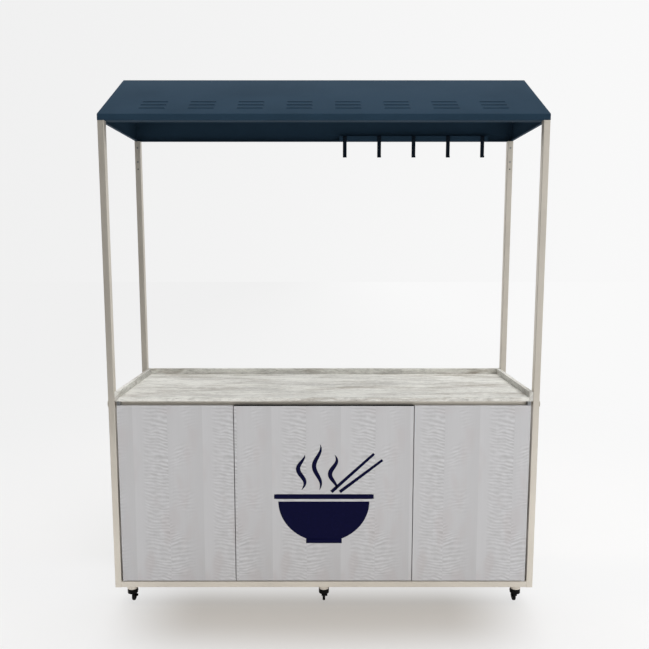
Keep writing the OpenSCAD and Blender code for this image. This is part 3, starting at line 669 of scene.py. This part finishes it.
# %% Canopy sheets with louvres
SHEET = 2 * MM
BEND = 3.5 * MM
RIDGE_BEND = 2.4 * MM
RIDGE_FLANGE = 22 * MM
RETURNS = {"canopy_front": 50 * MM, "canopy_rear": 24 * MM}
LOUVRE_STARTS = {"canopy_front": (82, 124, 166), "canopy_rear": (46, 88, 130)}
LOUVRE_COLUMNS = 8
LOUVRE_PITCH = 221 * MM
LOUVRE_XS = (np.arange(LOUVRE_COLUMNS) - (LOUVRE_COLUMNS - 1) / 2) * LOUVRE_PITCH
LOUVRE_HALF = 61.2 * MM
LOUVRE_CHEEK = 6 * MM
LOUVRE_MOUTH = 9 * MM
LOUVRE_BACK = 3 * MM
LOUVRE_RISE = 2.4 * MM
LOUVRE_WALL = 1.2 * MM
PITCH = math.radians(30.5)
canopy_low, ridge_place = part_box("canopy_front")
RIDGE = np.array([ridge_place.y, ridge_place.z])


def louvre_rows(start, steps=6):
    """Distance up the slope and rise: flat, then rise * (1 - t * t) from the mouth to the back.

    A flat row a millimetre before and after keeps the shading of the flat sheet even.
    """
    t = np.linspace(0, 1, steps + 1)
    distance = start * MM - LOUVRE_MOUTH + t * (LOUVRE_MOUTH + LOUVRE_BACK)
    rows = np.stack([distance, LOUVRE_RISE * (1 - t * t)], -1)
    return np.vstack([[distance[0] - MM, 0], [distance[0], 0], rows, [distance[-1] + MM, 0]])


def canopy_sheet(node, edge_y):
    """Outer face of a sheet: outline point + rise along the slope * bump along the cart."""
    inner = np.sign(RIDGE[0] - edge_y)
    foot = np.array([edge_y, canopy_low.z])
    eave = np.array([edge_y, RIDGE[1] - abs(RIDGE[0] - edge_y) * math.tan(PITCH)])
    edge = foot + [inner * RETURNS[node], 0]
    flange = RIDGE - [0, RIDGE_FLANGE]
    upwards = unit(RIDGE - eave)
    outwards = inner * np.array([-upwards[1], upwards[0]])
    stations = np.vstack([louvre_rows(start) for start in LOUVRE_STARTS[node]])
    before = np.vstack([[edge], arc(edge, foot, eave, BEND), arc(foot, eave, RIDGE, BEND)])
    after = np.vstack([arc(eave, RIDGE, flange, RIDGE_BEND), [flange]])
    outline = np.vstack([before, eave + stations[:, :1] * upwards, after])
    rise = np.concatenate([np.zeros(len(before)), stations[:, 1], np.zeros(len(after))])
    cheek = np.append(-MM, np.linspace(0, 1, 6) * LOUVRE_CHEEK)
    offsets = np.concatenate([cheek - LOUVRE_HALF, LOUVRE_HALF - cheek[::-1]])
    columns = (LOUVRE_XS[:, None] + offsets).ravel()
    x = np.concatenate([[canopy_low.x], columns, [-canopy_low.x]]) * inner
    reach = LOUVRE_HALF - np.abs(x[:, None] - LOUVRE_XS).min(axis=1)
    lift = rise[:, None] * smooth(reach / LOUVRE_CHEEK)
    flat = outline[:, None, :] + lift[:, :, None] * outwards
    points = np.concatenate([np.broadcast_to(x, lift.shape)[:, :, None], flat], -1)
    points, faces = grid(points)
    mouths = np.flatnonzero(np.diff(rise) > 0.9 * LOUVRE_RISE)
    faces = np.delete(faces.reshape(len(rise) - 1, len(x) - 1, 4), mouths, axis=0)
    made = piece(node + "_sheet", (points, faces.reshape(-1, 4)), canopy_coat, body_of(node),
                 "canopy_paint", node, closed=False)
    corners = np.array([vertex.co[1:] for vertex in made.data.vertices])
    raised = (corners - eave) @ outwards > 0.01 * MM
    walls = made.vertex_groups.new(name="wall")
    walls.add(np.flatnonzero(~raised).tolist(), 1.0, "REPLACE")
    walls.add(np.flatnonzero(raised).tolist(), LOUVRE_WALL / SHEET, "REPLACE")
    solid = made.modifiers.new("sheet", "SOLIDIFY")
    solid.vertex_group = "wall"
    solid.thickness = SHEET
    solid.offset = -1
    solid.use_even_offset = True
    return settled(made, sharp=42)


front_sheet = canopy_sheet("canopy_front", canopy_low.y)
rear_sheet = canopy_sheet("canopy_rear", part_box("canopy_rear")[1].y)
print("canopy faces:", len(front_sheet.data.polygons), len(rear_sheet.data.polygons))

# %% [markdown]
# ## Hooks
# Five hooks of painted flat bar hang under the right half of the canopy. Their navy is
# painted darker than the canopy's, as painted shade for hooks that hang against the light.
# A hook is a rounded rectangle carried along a J: a straight shank, half a circle and a
# short tip. The ends are worn round like the edges, so the section shrinks over a quarter
# circle there.

# %% Flat bars along a J
HOOK_WIDTH = 20 * MM
HOOK_THICK = 3 * MM
HOOK_EDGE = 0.9 * MM
HOOK_RADIUS = 3 * MM
HOOK_TIP = 3 * MM
LEAST_CORNER = 0.0001 * MM


def bar_section(width, thick, corner, steps=4):
    """Rectangle with four quarter circles: signs * (half size - corner) + corner * (cos, sin)."""
    a = np.arange(4)[:, None] * math.pi / 2 + np.linspace(0, math.pi / 2, steps + 1)
    signs = np.array([[1, 1], [-1, 1], [-1, -1], [1, -1]])[:, None, :]
    half = np.array([width / 2 - corner, thick / 2 - corner])
    return (signs * half + corner * np.stack([np.cos(a), np.sin(a)], -1)).reshape(-1, 2)


def flat_bar(path, width, thick, corner, steps=4):
    """Section carried along a path in Y and Z: point = path + u * X + v * normal.

    At each end the section is drawn in by corner * (1 - sin(f)) while it moves by
    corner * (1 - cos(f)), for f from 0 to a right angle, and the end row is one point.
    """
    tangent = np.gradient(path, axis=0)
    tangent /= np.linalg.norm(tangent, axis=1)[:, None]
    f = np.linspace(0, math.pi / 2, steps + 1)
    moved, inset = corner * (1 - np.cos(f)), corner * (1 - np.sin(f))
    sections = [
        bar_section(width - 2 * e, thick - 2 * e, corner - e + LEAST_CORNER) for e in inset
    ]
    starts = path[0] + moved[:, None] * tangent[0]
    ends = (path[-1] - moved[:, None] * tangent[-1])[::-1]
    places = np.vstack([starts[:1], starts, path[1:-1], ends, ends[-1:]])
    along = np.vstack([[tangent[0]] * (steps + 2), tangent[1:-1], [tangent[-1]] * (steps + 2)])
    full = [sections[-1]] * (len(path) - 2)
    outline = np.array([sections[0] * 0, *sections, *full, *sections[::-1], sections[0] * 0])
    normal = np.stack([-along[:, 1], along[:, 0]], -1)
    flat = places[:, None, :] + outline[:, :, 1:] * normal[:, None, :]
    return grid(np.concatenate([outline[:, :, :1], flat], -1), wrap_columns=True)


hook_low, hook_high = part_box("hooks")
shank_y = hook_high.y - HOOK_THICK / 2
curl = HOOK_RADIUS + HOOK_THICK / 2
turn_z = hook_low.z + HOOK_RADIUS + HOOK_THICK
a = np.linspace(0, math.pi, 25)
bend = np.stack([shank_y - curl + curl * np.cos(a), turn_z - curl * np.sin(a)], -1)
tip = bend[-1:] + [0, HOOK_TIP]
shank = np.array([[shank_y, z] for z in np.linspace(hook_high.z, turn_z, 5)[:-1]])
hook_shape = flat_bar(np.vstack([shank, bend, tip]), HOOK_WIDTH, HOOK_THICK, HOOK_EDGE)
HOOK_XS = np.linspace(hook_low.x + HOOK_WIDTH / 2, hook_high.x - HOOK_WIDTH / 2, 5)
piece(
    "hooks_bent", joined([placed(hook_shape, move=(x, 0, 0)) for x in HOOK_XS]),
    shaded_hook_coat, body_of("hooks"), "hook_paint", "hooks",
)
print("hooks at x:", HOOK_XS.round(4))

# %% [markdown]
# ## Screws
# Button head screws hold the canopy in the tops of the posts and the hooks on their rail;
# countersunk screws hold the plates of the leg joints. A head is turned: rows of circles
# from the rim up over the dome. The socket is the same surface with six-sided rows, where
# the radius changes with the angle, so no cut is needed.

# %% Turned screw heads with hexagon sockets
DOME_START = 0.12
DOME_FLAT = 0.62
DOME_CROWN = 0.6
SHANK_SHARE = 0.27
SOCKET_LAND = 1.25
SOCKET_DEPTH = 0.6


def turned(radius, height, sides=48, hexagon=None):
    """Rows of circles about Z; a row whose hexagon flag is set has six flats.

    r(a) = radius for a circle and radius / cos((a mod 60 degrees) - 30 degrees) for a hexagon.
    """
    a = np.arange(sides) * 2 * math.pi / sides
    corner = 1 / np.cos(a % (math.pi / 3) - math.pi / 6)
    flags = np.zeros(len(radius)) if hexagon is None else np.array(hexagon, float)
    r = np.array(radius)[:, None] * (1 + flags[:, None] * (corner - 1))
    z = np.broadcast_to(np.array(height)[:, None], r.shape)
    return grid(np.stack([r * np.cos(a), r * np.sin(a), z], -1), wrap_columns=True)


def screw(width, dome, length, socket):
    """Head from the socket's floor over the dome to the rim, then the shank down to a flat end.

    For f up to a right angle, the dome's rows have a radius of half the width times
    DOME_FLAT + (1 - DOME_FLAT) * sin(f) and a height of dome * cos(f) ** DOME_CROWN. dome is
    how high the head stands; 0 makes it countersunk, with a cone under it.
    """
    half = 0.5 * width
    shank = SHANK_SHARE * width
    f = np.linspace(DOME_START, 1, 6) * math.pi / 2
    top = half * math.sin(DOME_START * math.pi / 2) + socket * SOCKET_LAND
    floor = dome - SOCKET_DEPTH * socket
    under = 0.0 if dome else shank - half
    dome_radius = half * (DOME_FLAT + (1 - DOME_FLAT) * np.sin(f))
    dome_height = dome * np.cos(f) ** DOME_CROWN
    radius = [0, socket, socket, top, *dome_radius, shank, shank, 0]
    height = [floor, floor, dome, dome, *dome_height, under, -length, -length]
    flags = [1 if k in (1, 2) else 0 for k in range(len(radius))]
    return turned(radius, height, hexagon=flags)


def facing(direction):
    """Rows are the new places of X, Y and Z when Z is turned to a direction."""
    z = unit(np.array(direction, float))
    x = unit(np.cross([0, 0, 1] if abs(z[2]) < 0.9 else [0, 1, 0], z))
    return np.array([x, np.cross(z, x), z])


POST_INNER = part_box("post_rear_right")[0].y
CANOPY_SCREWS = (2241 * MM, 2168 * MM)
PLATE_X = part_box("joint_plates")[1].x
PLATE_SCREWS = (992 * MM, 1004 * MM)
canopy_screw = screw(9 * MM, 2 * MM, 5 * MM, 1.6 * MM)
plate_screw = screw(8 * MM, 0, 7 * MM, 1.3 * MM)
frame_screw_shapes = []
for side in (-1, 1):
    for depth in (-1, 1):
        for z in CANOPY_SCREWS:
            place = (side * POST_X, depth * POST_INNER, z)
            frame_screw_shapes.append(placed(canopy_screw, facing((0, -depth, 0)), place))
        for z in PLATE_SCREWS:
            place = (side * PLATE_X, depth * POST_Y, z)
            frame_screw_shapes.append(placed(plate_screw, facing((side, 0, 0)), place))
piece("frame_screws_turned", joined(frame_screw_shapes), zinc, body_of("frame_screws"),
      "zinc_steel", "frame_screws", sharp=28)

rail_low, rail_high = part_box("hook_rail")
rail_z, rail_size = (rail_low.z + rail_high.z) / 2, rail_high.z - rail_low.z
hook_screw = screw(7.2 * MM, 1.6 * MM, 3 * MM, 1.3 * MM)
hook_face = hook_high.y - HOOK_THICK
hook_screw_shapes = [
    placed(hook_screw, facing((0, -1, 0)), (x, hook_face, rail_z + side * rail_size / 4))
    for x in HOOK_XS for side in (-1, 1)
]
piece("hook_screws_turned", joined(hook_screw_shapes), shaded_hook_coat, body_of("hook_screws"),
      "hook_paint", "hook_screws", sharp=28)
print("screws:", len(frame_screw_shapes) + len(hook_screw_shapes))

# %% [markdown]
# ## Wheels
# A caster wheel has a hard rubber tread pressed on a nylon hub. Both are turned about the
# axle. The hub's web lies deeper than its rim and boss and is stiffened by five ribs: the
# depth of the web's rows changes with the angle, which gives the ribs without any cut.

# %% Turned tyres and ribbed hubs
WHEEL_RADIUS = 25 * MM
WHEEL_HALF = 6.5 * MM
HUB_RADIUS = 19 * MM
HUB_RIM = 16 * MM
HUB_BOSS = 8 * MM
HUB_BORE = 4.05 * MM
WEB_HALF = 3.2 * MM
TREAD_CORNER = 3.2 * MM
HUB_INSET = 0.4 * MM
HUB_EASE = 0.6 * MM
BOSS_EASE = 0.8 * MM
RIB_INSET = 1.2 * MM
RIBS = 5
RIB_SLOPE = 3.2
RIB_WIDTH = 2.1


def tyre():
    """Tread with round shoulders: corner centre + corner * (sin, cos) over each quarter circle."""
    f = np.linspace(0, math.pi / 2, 7)
    r = WHEEL_RADIUS - TREAD_CORNER + TREAD_CORNER * np.sin(f)
    s = WHEEL_HALF - TREAD_CORNER + TREAD_CORNER * np.cos(f)
    radius = [HUB_RADIUS, *r, *r[::-1], HUB_RADIUS, HUB_RADIUS]
    height = [WHEEL_HALF, *s, *(-s[::-1]), -WHEEL_HALF, WHEEL_HALF]
    return turned(radius, height, sides=96)


def hub(sides=120):
    """Half profile over the face, mirrored below; the web is higher where there is a rib.

    rib(a) = smooth(RIB_SLOPE * cos(RIBS * a) - RIB_WIDTH), from 0 between the ribs to 1 on them.
    """
    a = np.arange(sides) * 2 * math.pi / sides
    rib = smooth(RIB_SLOPE * np.cos(a * RIBS) - RIB_WIDTH)
    full = WHEEL_HALF - HUB_INSET
    web = WEB_HALF + rib * (full - RIB_INSET - WEB_HALF)
    ones = np.ones(sides)
    eased_edge = (full - HUB_EASE) * ones
    radius = np.array([
        HUB_BORE, HUB_BORE, HUB_BOSS - BOSS_EASE, HUB_BOSS, HUB_BOSS + HUB_EASE,
        HUB_RIM - HUB_EASE, HUB_RIM, HUB_RIM + HUB_EASE, HUB_RADIUS,
    ])
    height = np.array([
        0 * ones, full * ones, full * ones, eased_edge, web,
        web, eased_edge, full * ones, full * ones,
    ])
    radius = np.concatenate([radius, radius[::-1][:-1]])
    height = np.concatenate([height, -height[::-1][:-1]])
    r = np.broadcast_to(radius[:, None], height.shape)
    rows = np.stack([r * np.cos(a), r * np.sin(a), height], -1)
    return grid(rows, wrap_rows=True, wrap_columns=True)


tyre_shape, hub_shape = tyre(), hub()
for end in ("front", "rear"):
    for place in ("left", "middle", "right"):
        node = f"wheel_{end}_{place}"
        roll = JOINTS[f"roll_{end}_{place}"]
        turn, centre = facing(roll["axis"]), roll["pos_m"]
        piece(node + "_tyre", placed(tyre_shape, turn, centre), wheel_rubber, body_of(node),
              "wheel_rubber", node)
        piece(node + "_hub", placed(hub_shape, turn, centre), caster_black, body_of(node),
              "caster_black")
print("wheels: 6")

# %% [markdown]
# ## Shade strip
# Over the fixed centre panel the photograph shows a black line that the doors lack. Here it
# is painted shade: a black strip in the rubber finish on the panel's top edge stands for the
# dark gap under the rail. It is the rounded rectangle of the hooks once more, carried along
# a straight line across the cart.

# %% Strip on the panel's top edge
GAP_SHADE_HEIGHT = 3.4 * MM
GAP_SHADE_INSET = 1 * MM
GAP_SHADE_EDGE = 0.8 * MM
panel_low, panel_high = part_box("centre_panel")
gap_shade_length = panel_high.x - panel_low.x
gap_shade_depth = panel_high.y - panel_low.y - 2 * GAP_SHADE_INSET
gap_shade_run = np.stack([np.linspace(-0.5, 0.5, 9) * gap_shade_length, np.zeros(9)], -1)
gap_shade_middle = (0, (panel_low.y + panel_high.y) / 2, panel_high.z + GAP_SHADE_HEIGHT / 2)
gap_shade_bar = flat_bar(gap_shade_run, gap_shade_depth, GAP_SHADE_HEIGHT, GAP_SHADE_EDGE)
# painted shade: this black strip stands for the dark gap under the rail
piece("centre_panel_gap_shade", placed(gap_shade_bar, [(0, -1, 0), (1, 0, 0), (0, 0, 1)], gap_shade_middle),
      wheel_rubber, body_of("centre_panel"), "wheel_rubber")
print("seal strip:", round(gap_shade_length, 3), "m long")

# %% [markdown]
# ## Print on the centre panel
# A large navy print marks a cart's front. This one is a plain steaming bowl with two
# chopsticks. It could be an image, but flat pieces made from formulas stay sharp and need
# no file: the bowl is half an ellipse, and each wisp of steam is a sine curve whose width
# swells and fades. The print is a film a little under a tenth of a millimetre thick. The
# panel's face is drawn back by a tenth, so that the film stays within the panel's depth.

# %% Bowl, steam and chopsticks
FACE_DRAWN_BACK = 0.1 * MM
FILM = 0.08 * MM
PRINT_MIDDLE = 500 * MM
BOWL_WIDTH, BOWL_HEIGHT, BOWL_RIM = 430 * MM, 185 * MM, 28 * MM
BOWL_CUT = 0.93
RIM_HALF, RIM_LEVEL, RIM_THICK = 235 * MM, 52 * MM, 24 * MM
FOOT_HALF, FOOT_LEVEL, FOOT_THICK = 85 * MM, -167 * MM, 22 * MM
WISP_FOOT, WISP_SWAY, WISP_THICK = 85 * MM, 16 * MM, 21 * MM
WISP_TURNS = 1.25
WISPS = [(-105 * MM, 170 * MM, 0.0), (-30 * MM, 220 * MM, 0.6), (45 * MM, 170 * MM, 1.2)]
STICK_FOOT, STICK_RUN, STICK_THICK, STICK_TAPER = 75 * MM, 200 * MM, 16 * MM, 3.86 * MM
STICKS = [(75 * MM, 155 * MM), (35 * MM, 185 * MM)]
ink = black_part(
    "print_ink", linear(8, 9, 46), linear(12, 13, 54), roughness=0.4, grain=1200, specular=0.06
)


def printed(x, z):
    """Rows of points of the print, in the panel's front plane."""
    return grid(np.stack([x, np.full(x.shape, cad_low.y), z], -1))


def ribbon(x, z, width):
    """Flat strip in X and Z: path + k * width / 2 * normal, for k from -1 to 1."""
    path = np.stack(np.broadcast_arrays(x, z), -1)
    tangent = np.gradient(path, axis=0)
    tangent /= np.linalg.norm(tangent, axis=1)[:, None]
    reach = np.linspace(-1, 1, 5) * np.broadcast_to(width, len(path))[:, None] / 2
    return printed(path[:, :1] - reach * tangent[:, 1:], path[:, 1:] + reach * tangent[:, :1])


def bowl():
    """Rows from the rim down: half width = BOWL_WIDTH / 2 * sqrt(1 - (BOWL_CUT * t) ** 2)."""
    t = np.sin(np.linspace(0, 1, 40) * math.pi / 2)[:, None]
    x = np.linspace(-1, 1, 33) * BOWL_WIDTH / 2 * np.sqrt(1 - (BOWL_CUT * t) ** 2)
    return printed(x, np.broadcast_to(BOWL_RIM - BOWL_HEIGHT * t, x.shape))


def wisp(foot_x, height, turn):
    """Steam: x sways by a sine, and the width is the sine of half a turn to the power 0.7."""
    t = np.linspace(0, 1, 60)
    fade = np.sin(math.pi * np.clip(t, 0.004, 0.996)) ** 0.7
    x = foot_x + WISP_SWAY * np.sin(2 * math.pi * t * WISP_TURNS + turn)
    return ribbon(x, WISP_FOOT + height * t, WISP_THICK * fade)


def chopstick(foot_x, rise):
    """A straight strip that gets a little thinner towards its upper end."""
    t = np.linspace(0, 1, 20)
    return ribbon(foot_x + STICK_RUN * t, STICK_FOOT + rise * t, STICK_THICK - STICK_TAPER * t)


def rim():
    """Bar across the bowl, about an eighth narrower at its ends than in the middle."""
    x = np.linspace(-RIM_HALF, RIM_HALF, 40)
    taper = np.clip(np.sin(np.linspace(0.06, 0.94, 40) * math.pi) * 4, 0, 1) ** 0.5
    return ribbon(x, RIM_LEVEL, RIM_THICK * taper)


foot = ribbon(np.linspace(-FOOT_HALF, FOOT_HALF, 12), FOOT_LEVEL, FOOT_THICK)
steam = [wisp(*row) for row in WISPS]
print_shape = joined([bowl(), rim(), foot, *steam, *[chopstick(*row) for row in STICKS]])
print_piece = piece("centre_panel_print", placed(print_shape, move=(0, 0, PRINT_MIDDLE)), ink,
                    body_of("centre_panel"), "laminate_board", closed=False)
film = print_piece.modifiers.new("film", "SOLIDIFY")
film.thickness = FILM
film.offset = 1

panel = bpy.data.objects["centre_panel_eased"]
panel_points = np.empty(len(panel.data.vertices) * 3)
panel.data.vertices.foreach_get("co", panel_points)
panel_points = panel_points.reshape(-1, 3)
panel_points[:, 1] = np.maximum(panel_points[:, 1], cad_low.y + FACE_DRAWN_BACK)
panel.data.vertices.foreach_set("co", panel_points.ravel())
panel.data.update()
print("print faces:", len(print_piece.data.polygons))

# %% [markdown]
# ## Floor and light
# A product photograph on white has a pale floor, a wide soft light overhead, a little to
# the back and the right, and a softbox at the front right. The background would need a lot
# of light to be white, and that light would wash out the cart. So the white comes from the
# colour that camera rays see, while the cart is lit by the plain lights. Near the cart the
# floor is part painted white with a soft painted shade and part a real surface, which takes
# the cart's shadow. Close to the cart that real surface is also painted warmer and darker,
# as shade.

# %% Floor, background and lamps
FLOOR_HALF = 30.0
AMBIENT = 0.16
ROOM_LEFT = linear(240, 240, 240)
ROOM_RIGHT = linear(249, 249, 249)
FLOOR_COLOUR = linear(241, 240, 239)
# painted shade: a warmer, darker floor colour close to the cart
FLOOR_WARM_SHADE = linear(228, 222, 215)
FLOOR_SHADE = linear(182, 178, 173)
STUDIO_DARK = linear(50, 50, 50)
STUDIO_HALF = linear(198, 198, 198)
STUDIO_BRIGHT = linear(225, 225, 225)
BACKDROP_FROM = (2.0, 5.0)
SHADOW_WITHIN = (4.5, 1.3)
WARM_SHADE_WITHIN = (1.0, 0.5)
SHADE_MIDDLE = -0.38
SHADE_ACROSS = (0.40, 0.02)
SHADE_ALONG = (1.06, 0.56)
UNDER_MIDDLE = -0.05
UNDER_ACROSS = (0.36, 0.10)


def backdrop(finish, sideways, spread):
    """White that grows a little from the left to the right, as in the photograph."""
    return finish.mix(sideways.step(-spread, spread), ROOM_LEFT, ROOM_RIGHT)


def studio(finish, sideways, ahead):
    """What reflections show: bright behind the cart, in front dark on the left, half right."""
    front = finish.mix(sideways.step(-0.25, 0.35), STUDIO_DARK, STUDIO_HALF)
    return finish.mix(ahead.step(-0.2, 0.4), front, STUDIO_BRIGHT)


def white_floor():
    """Partly diffuse near the cart; far away the backdrop's white, or in reflections the studio.

    The diffuse part takes the cart's true shadow, and its colour is painted warmer and darker
    close to the cart as shade. The rest is the backdrop's white with a painted soft shade along
    the cart's front, and its share is the largest under and beside the cart. Each pair of
    distances is where a smooth step starts and ends.
    """
    finish = Finish(bpy.data.materials.new("floor"))
    x, y, z = finish.places()
    away = finish.math("SQRT", x * x + y * y)
    under = y.away(UNDER_MIDDLE).step(*UNDER_ACROSS)
    shade = x.away(0).step(*SHADE_ALONG) * y.away(SHADE_MIDDLE).step(*SHADE_ACROSS)
    camera = finish.node("ShaderNodeLightPath", output="Is Camera Ray")
    glossy = finish.node("ShaderNodeLightPath", output="Is Glossy Ray")
    clouds = finish.noise(x * 0.6, y * 0.6, z, detail=1)
    round_cart = finish.math("SQRT", x * x * 0.6 + y * y) + 0.1 * (clouds - 0.5)
    # painted shade: the floor's colour turns warmer and darker close to the cart
    paint = finish.mix(round_cart.step(*WARM_SHADE_WITHIN), FLOOR_COLOUR, FLOOR_WARM_SHADE)
    near = finish.node("ShaderNodeBsdfPrincipled", sockets={
        "Base Color": finish.mix(glossy * y.step(0.3, 0.6), paint, STUDIO_DARK),
        "Roughness": 0.8,
        "Specular IOR Level": 0.2,
    })
    white = backdrop(finish, x, 4.0)
    distant = away.step(*BACKDROP_FROM)
    mirrored = finish.mix(distant, white, studio(finish, x / away, y / away))
    seen = finish.mix(glossy, finish.mix(shade, white, FLOOR_SHADE), mirrored)
    far = finish.node("ShaderNodeEmission", sockets={"Color": seen})
    diffuse = (0.4 - 0.3 * under) * away.step(*SHADOW_WITHIN)
    in_front = 0.5 * y.step(-0.2, -0.35) * (1 - distant)
    share = (1 - diffuse) * camera + (distant + in_front) * glossy
    mixed = finish.node("ShaderNodeMixShader", sockets={0: share, 1: near, 2: far})
    finish.node("ShaderNodeOutputMaterial", sockets={"Surface": mixed})
    return finish.holder


floor_mesh = bpy.data.meshes.new("floor")
corners = np.array([(-1, -1, 0), (1, -1, 0), (1, 1, 0), (-1, 1, 0)]) * FLOOR_HALF
floor_mesh.from_pydata(corners.tolist(), [], [(0, 1, 2, 3)])
floor_mesh.materials.append(white_floor())
floor = bpy.data.objects.new("floor", floor_mesh)
bpy.context.scene.collection.objects.link(floor)


def white_room():
    """World: the backdrop's white for camera rays and even ambient light for diffuse ones.

    Reflections see a studio: a bright backdrop behind the cart, a dark room in front of it on
    the left and a brighter one on the right, so painted tubes show their faces.
    """
    world = bpy.data.worlds.new("room")
    finish = Finish(world)
    camera = finish.node("ShaderNodeLightPath", output="Is Camera Ray")
    glossy = finish.node("ShaderNodeLightPath", output="Is Glossy Ray")
    direction = finish.node("ShaderNodeTexCoord", output="Generated")
    sideways = finish.node("ShaderNodeSeparateXYZ", sockets={0: direction}, output="X")
    ahead = finish.node("ShaderNodeSeparateXYZ", sockets={0: direction}, output="Y")
    even = (AMBIENT, AMBIENT, AMBIENT, 1)
    colour = finish.mix(glossy, even, studio(finish, sideways, ahead))
    colour = finish.mix(camera, colour, backdrop(finish, sideways, 0.6))
    light = finish.node("ShaderNodeBackground", sockets={"Color": colour})
    finish.node("ShaderNodeOutputWorld", sockets={"Surface": light})
    bpy.context.scene.world = world


def softbox(name, place, target, width, height, watts):
    """Area lamp that faces a target; reflections see the studio in its place."""
    lamp = bpy.data.lights.new(name, "AREA")
    lamp.shape = "RECTANGLE"
    lamp.size, lamp.size_y = width, height
    lamp.energy = watts
    made = bpy.data.objects.new(name, lamp)
    made.location = place
    made.rotation_euler = (Vector(target) - Vector(place)).to_track_quat("-Z", "Y").to_euler()
    made.visible_glossy = False
    bpy.context.scene.collection.objects.link(made)


white_room()
softbox("overhead", place=(2, 1, 20), target=(0, 0, 0), width=36, height=26, watts=6700)
softbox("front_right", place=(4.6, -9, 3), target=(0, 0, 0.7), width=4, height=3.4, watts=250)
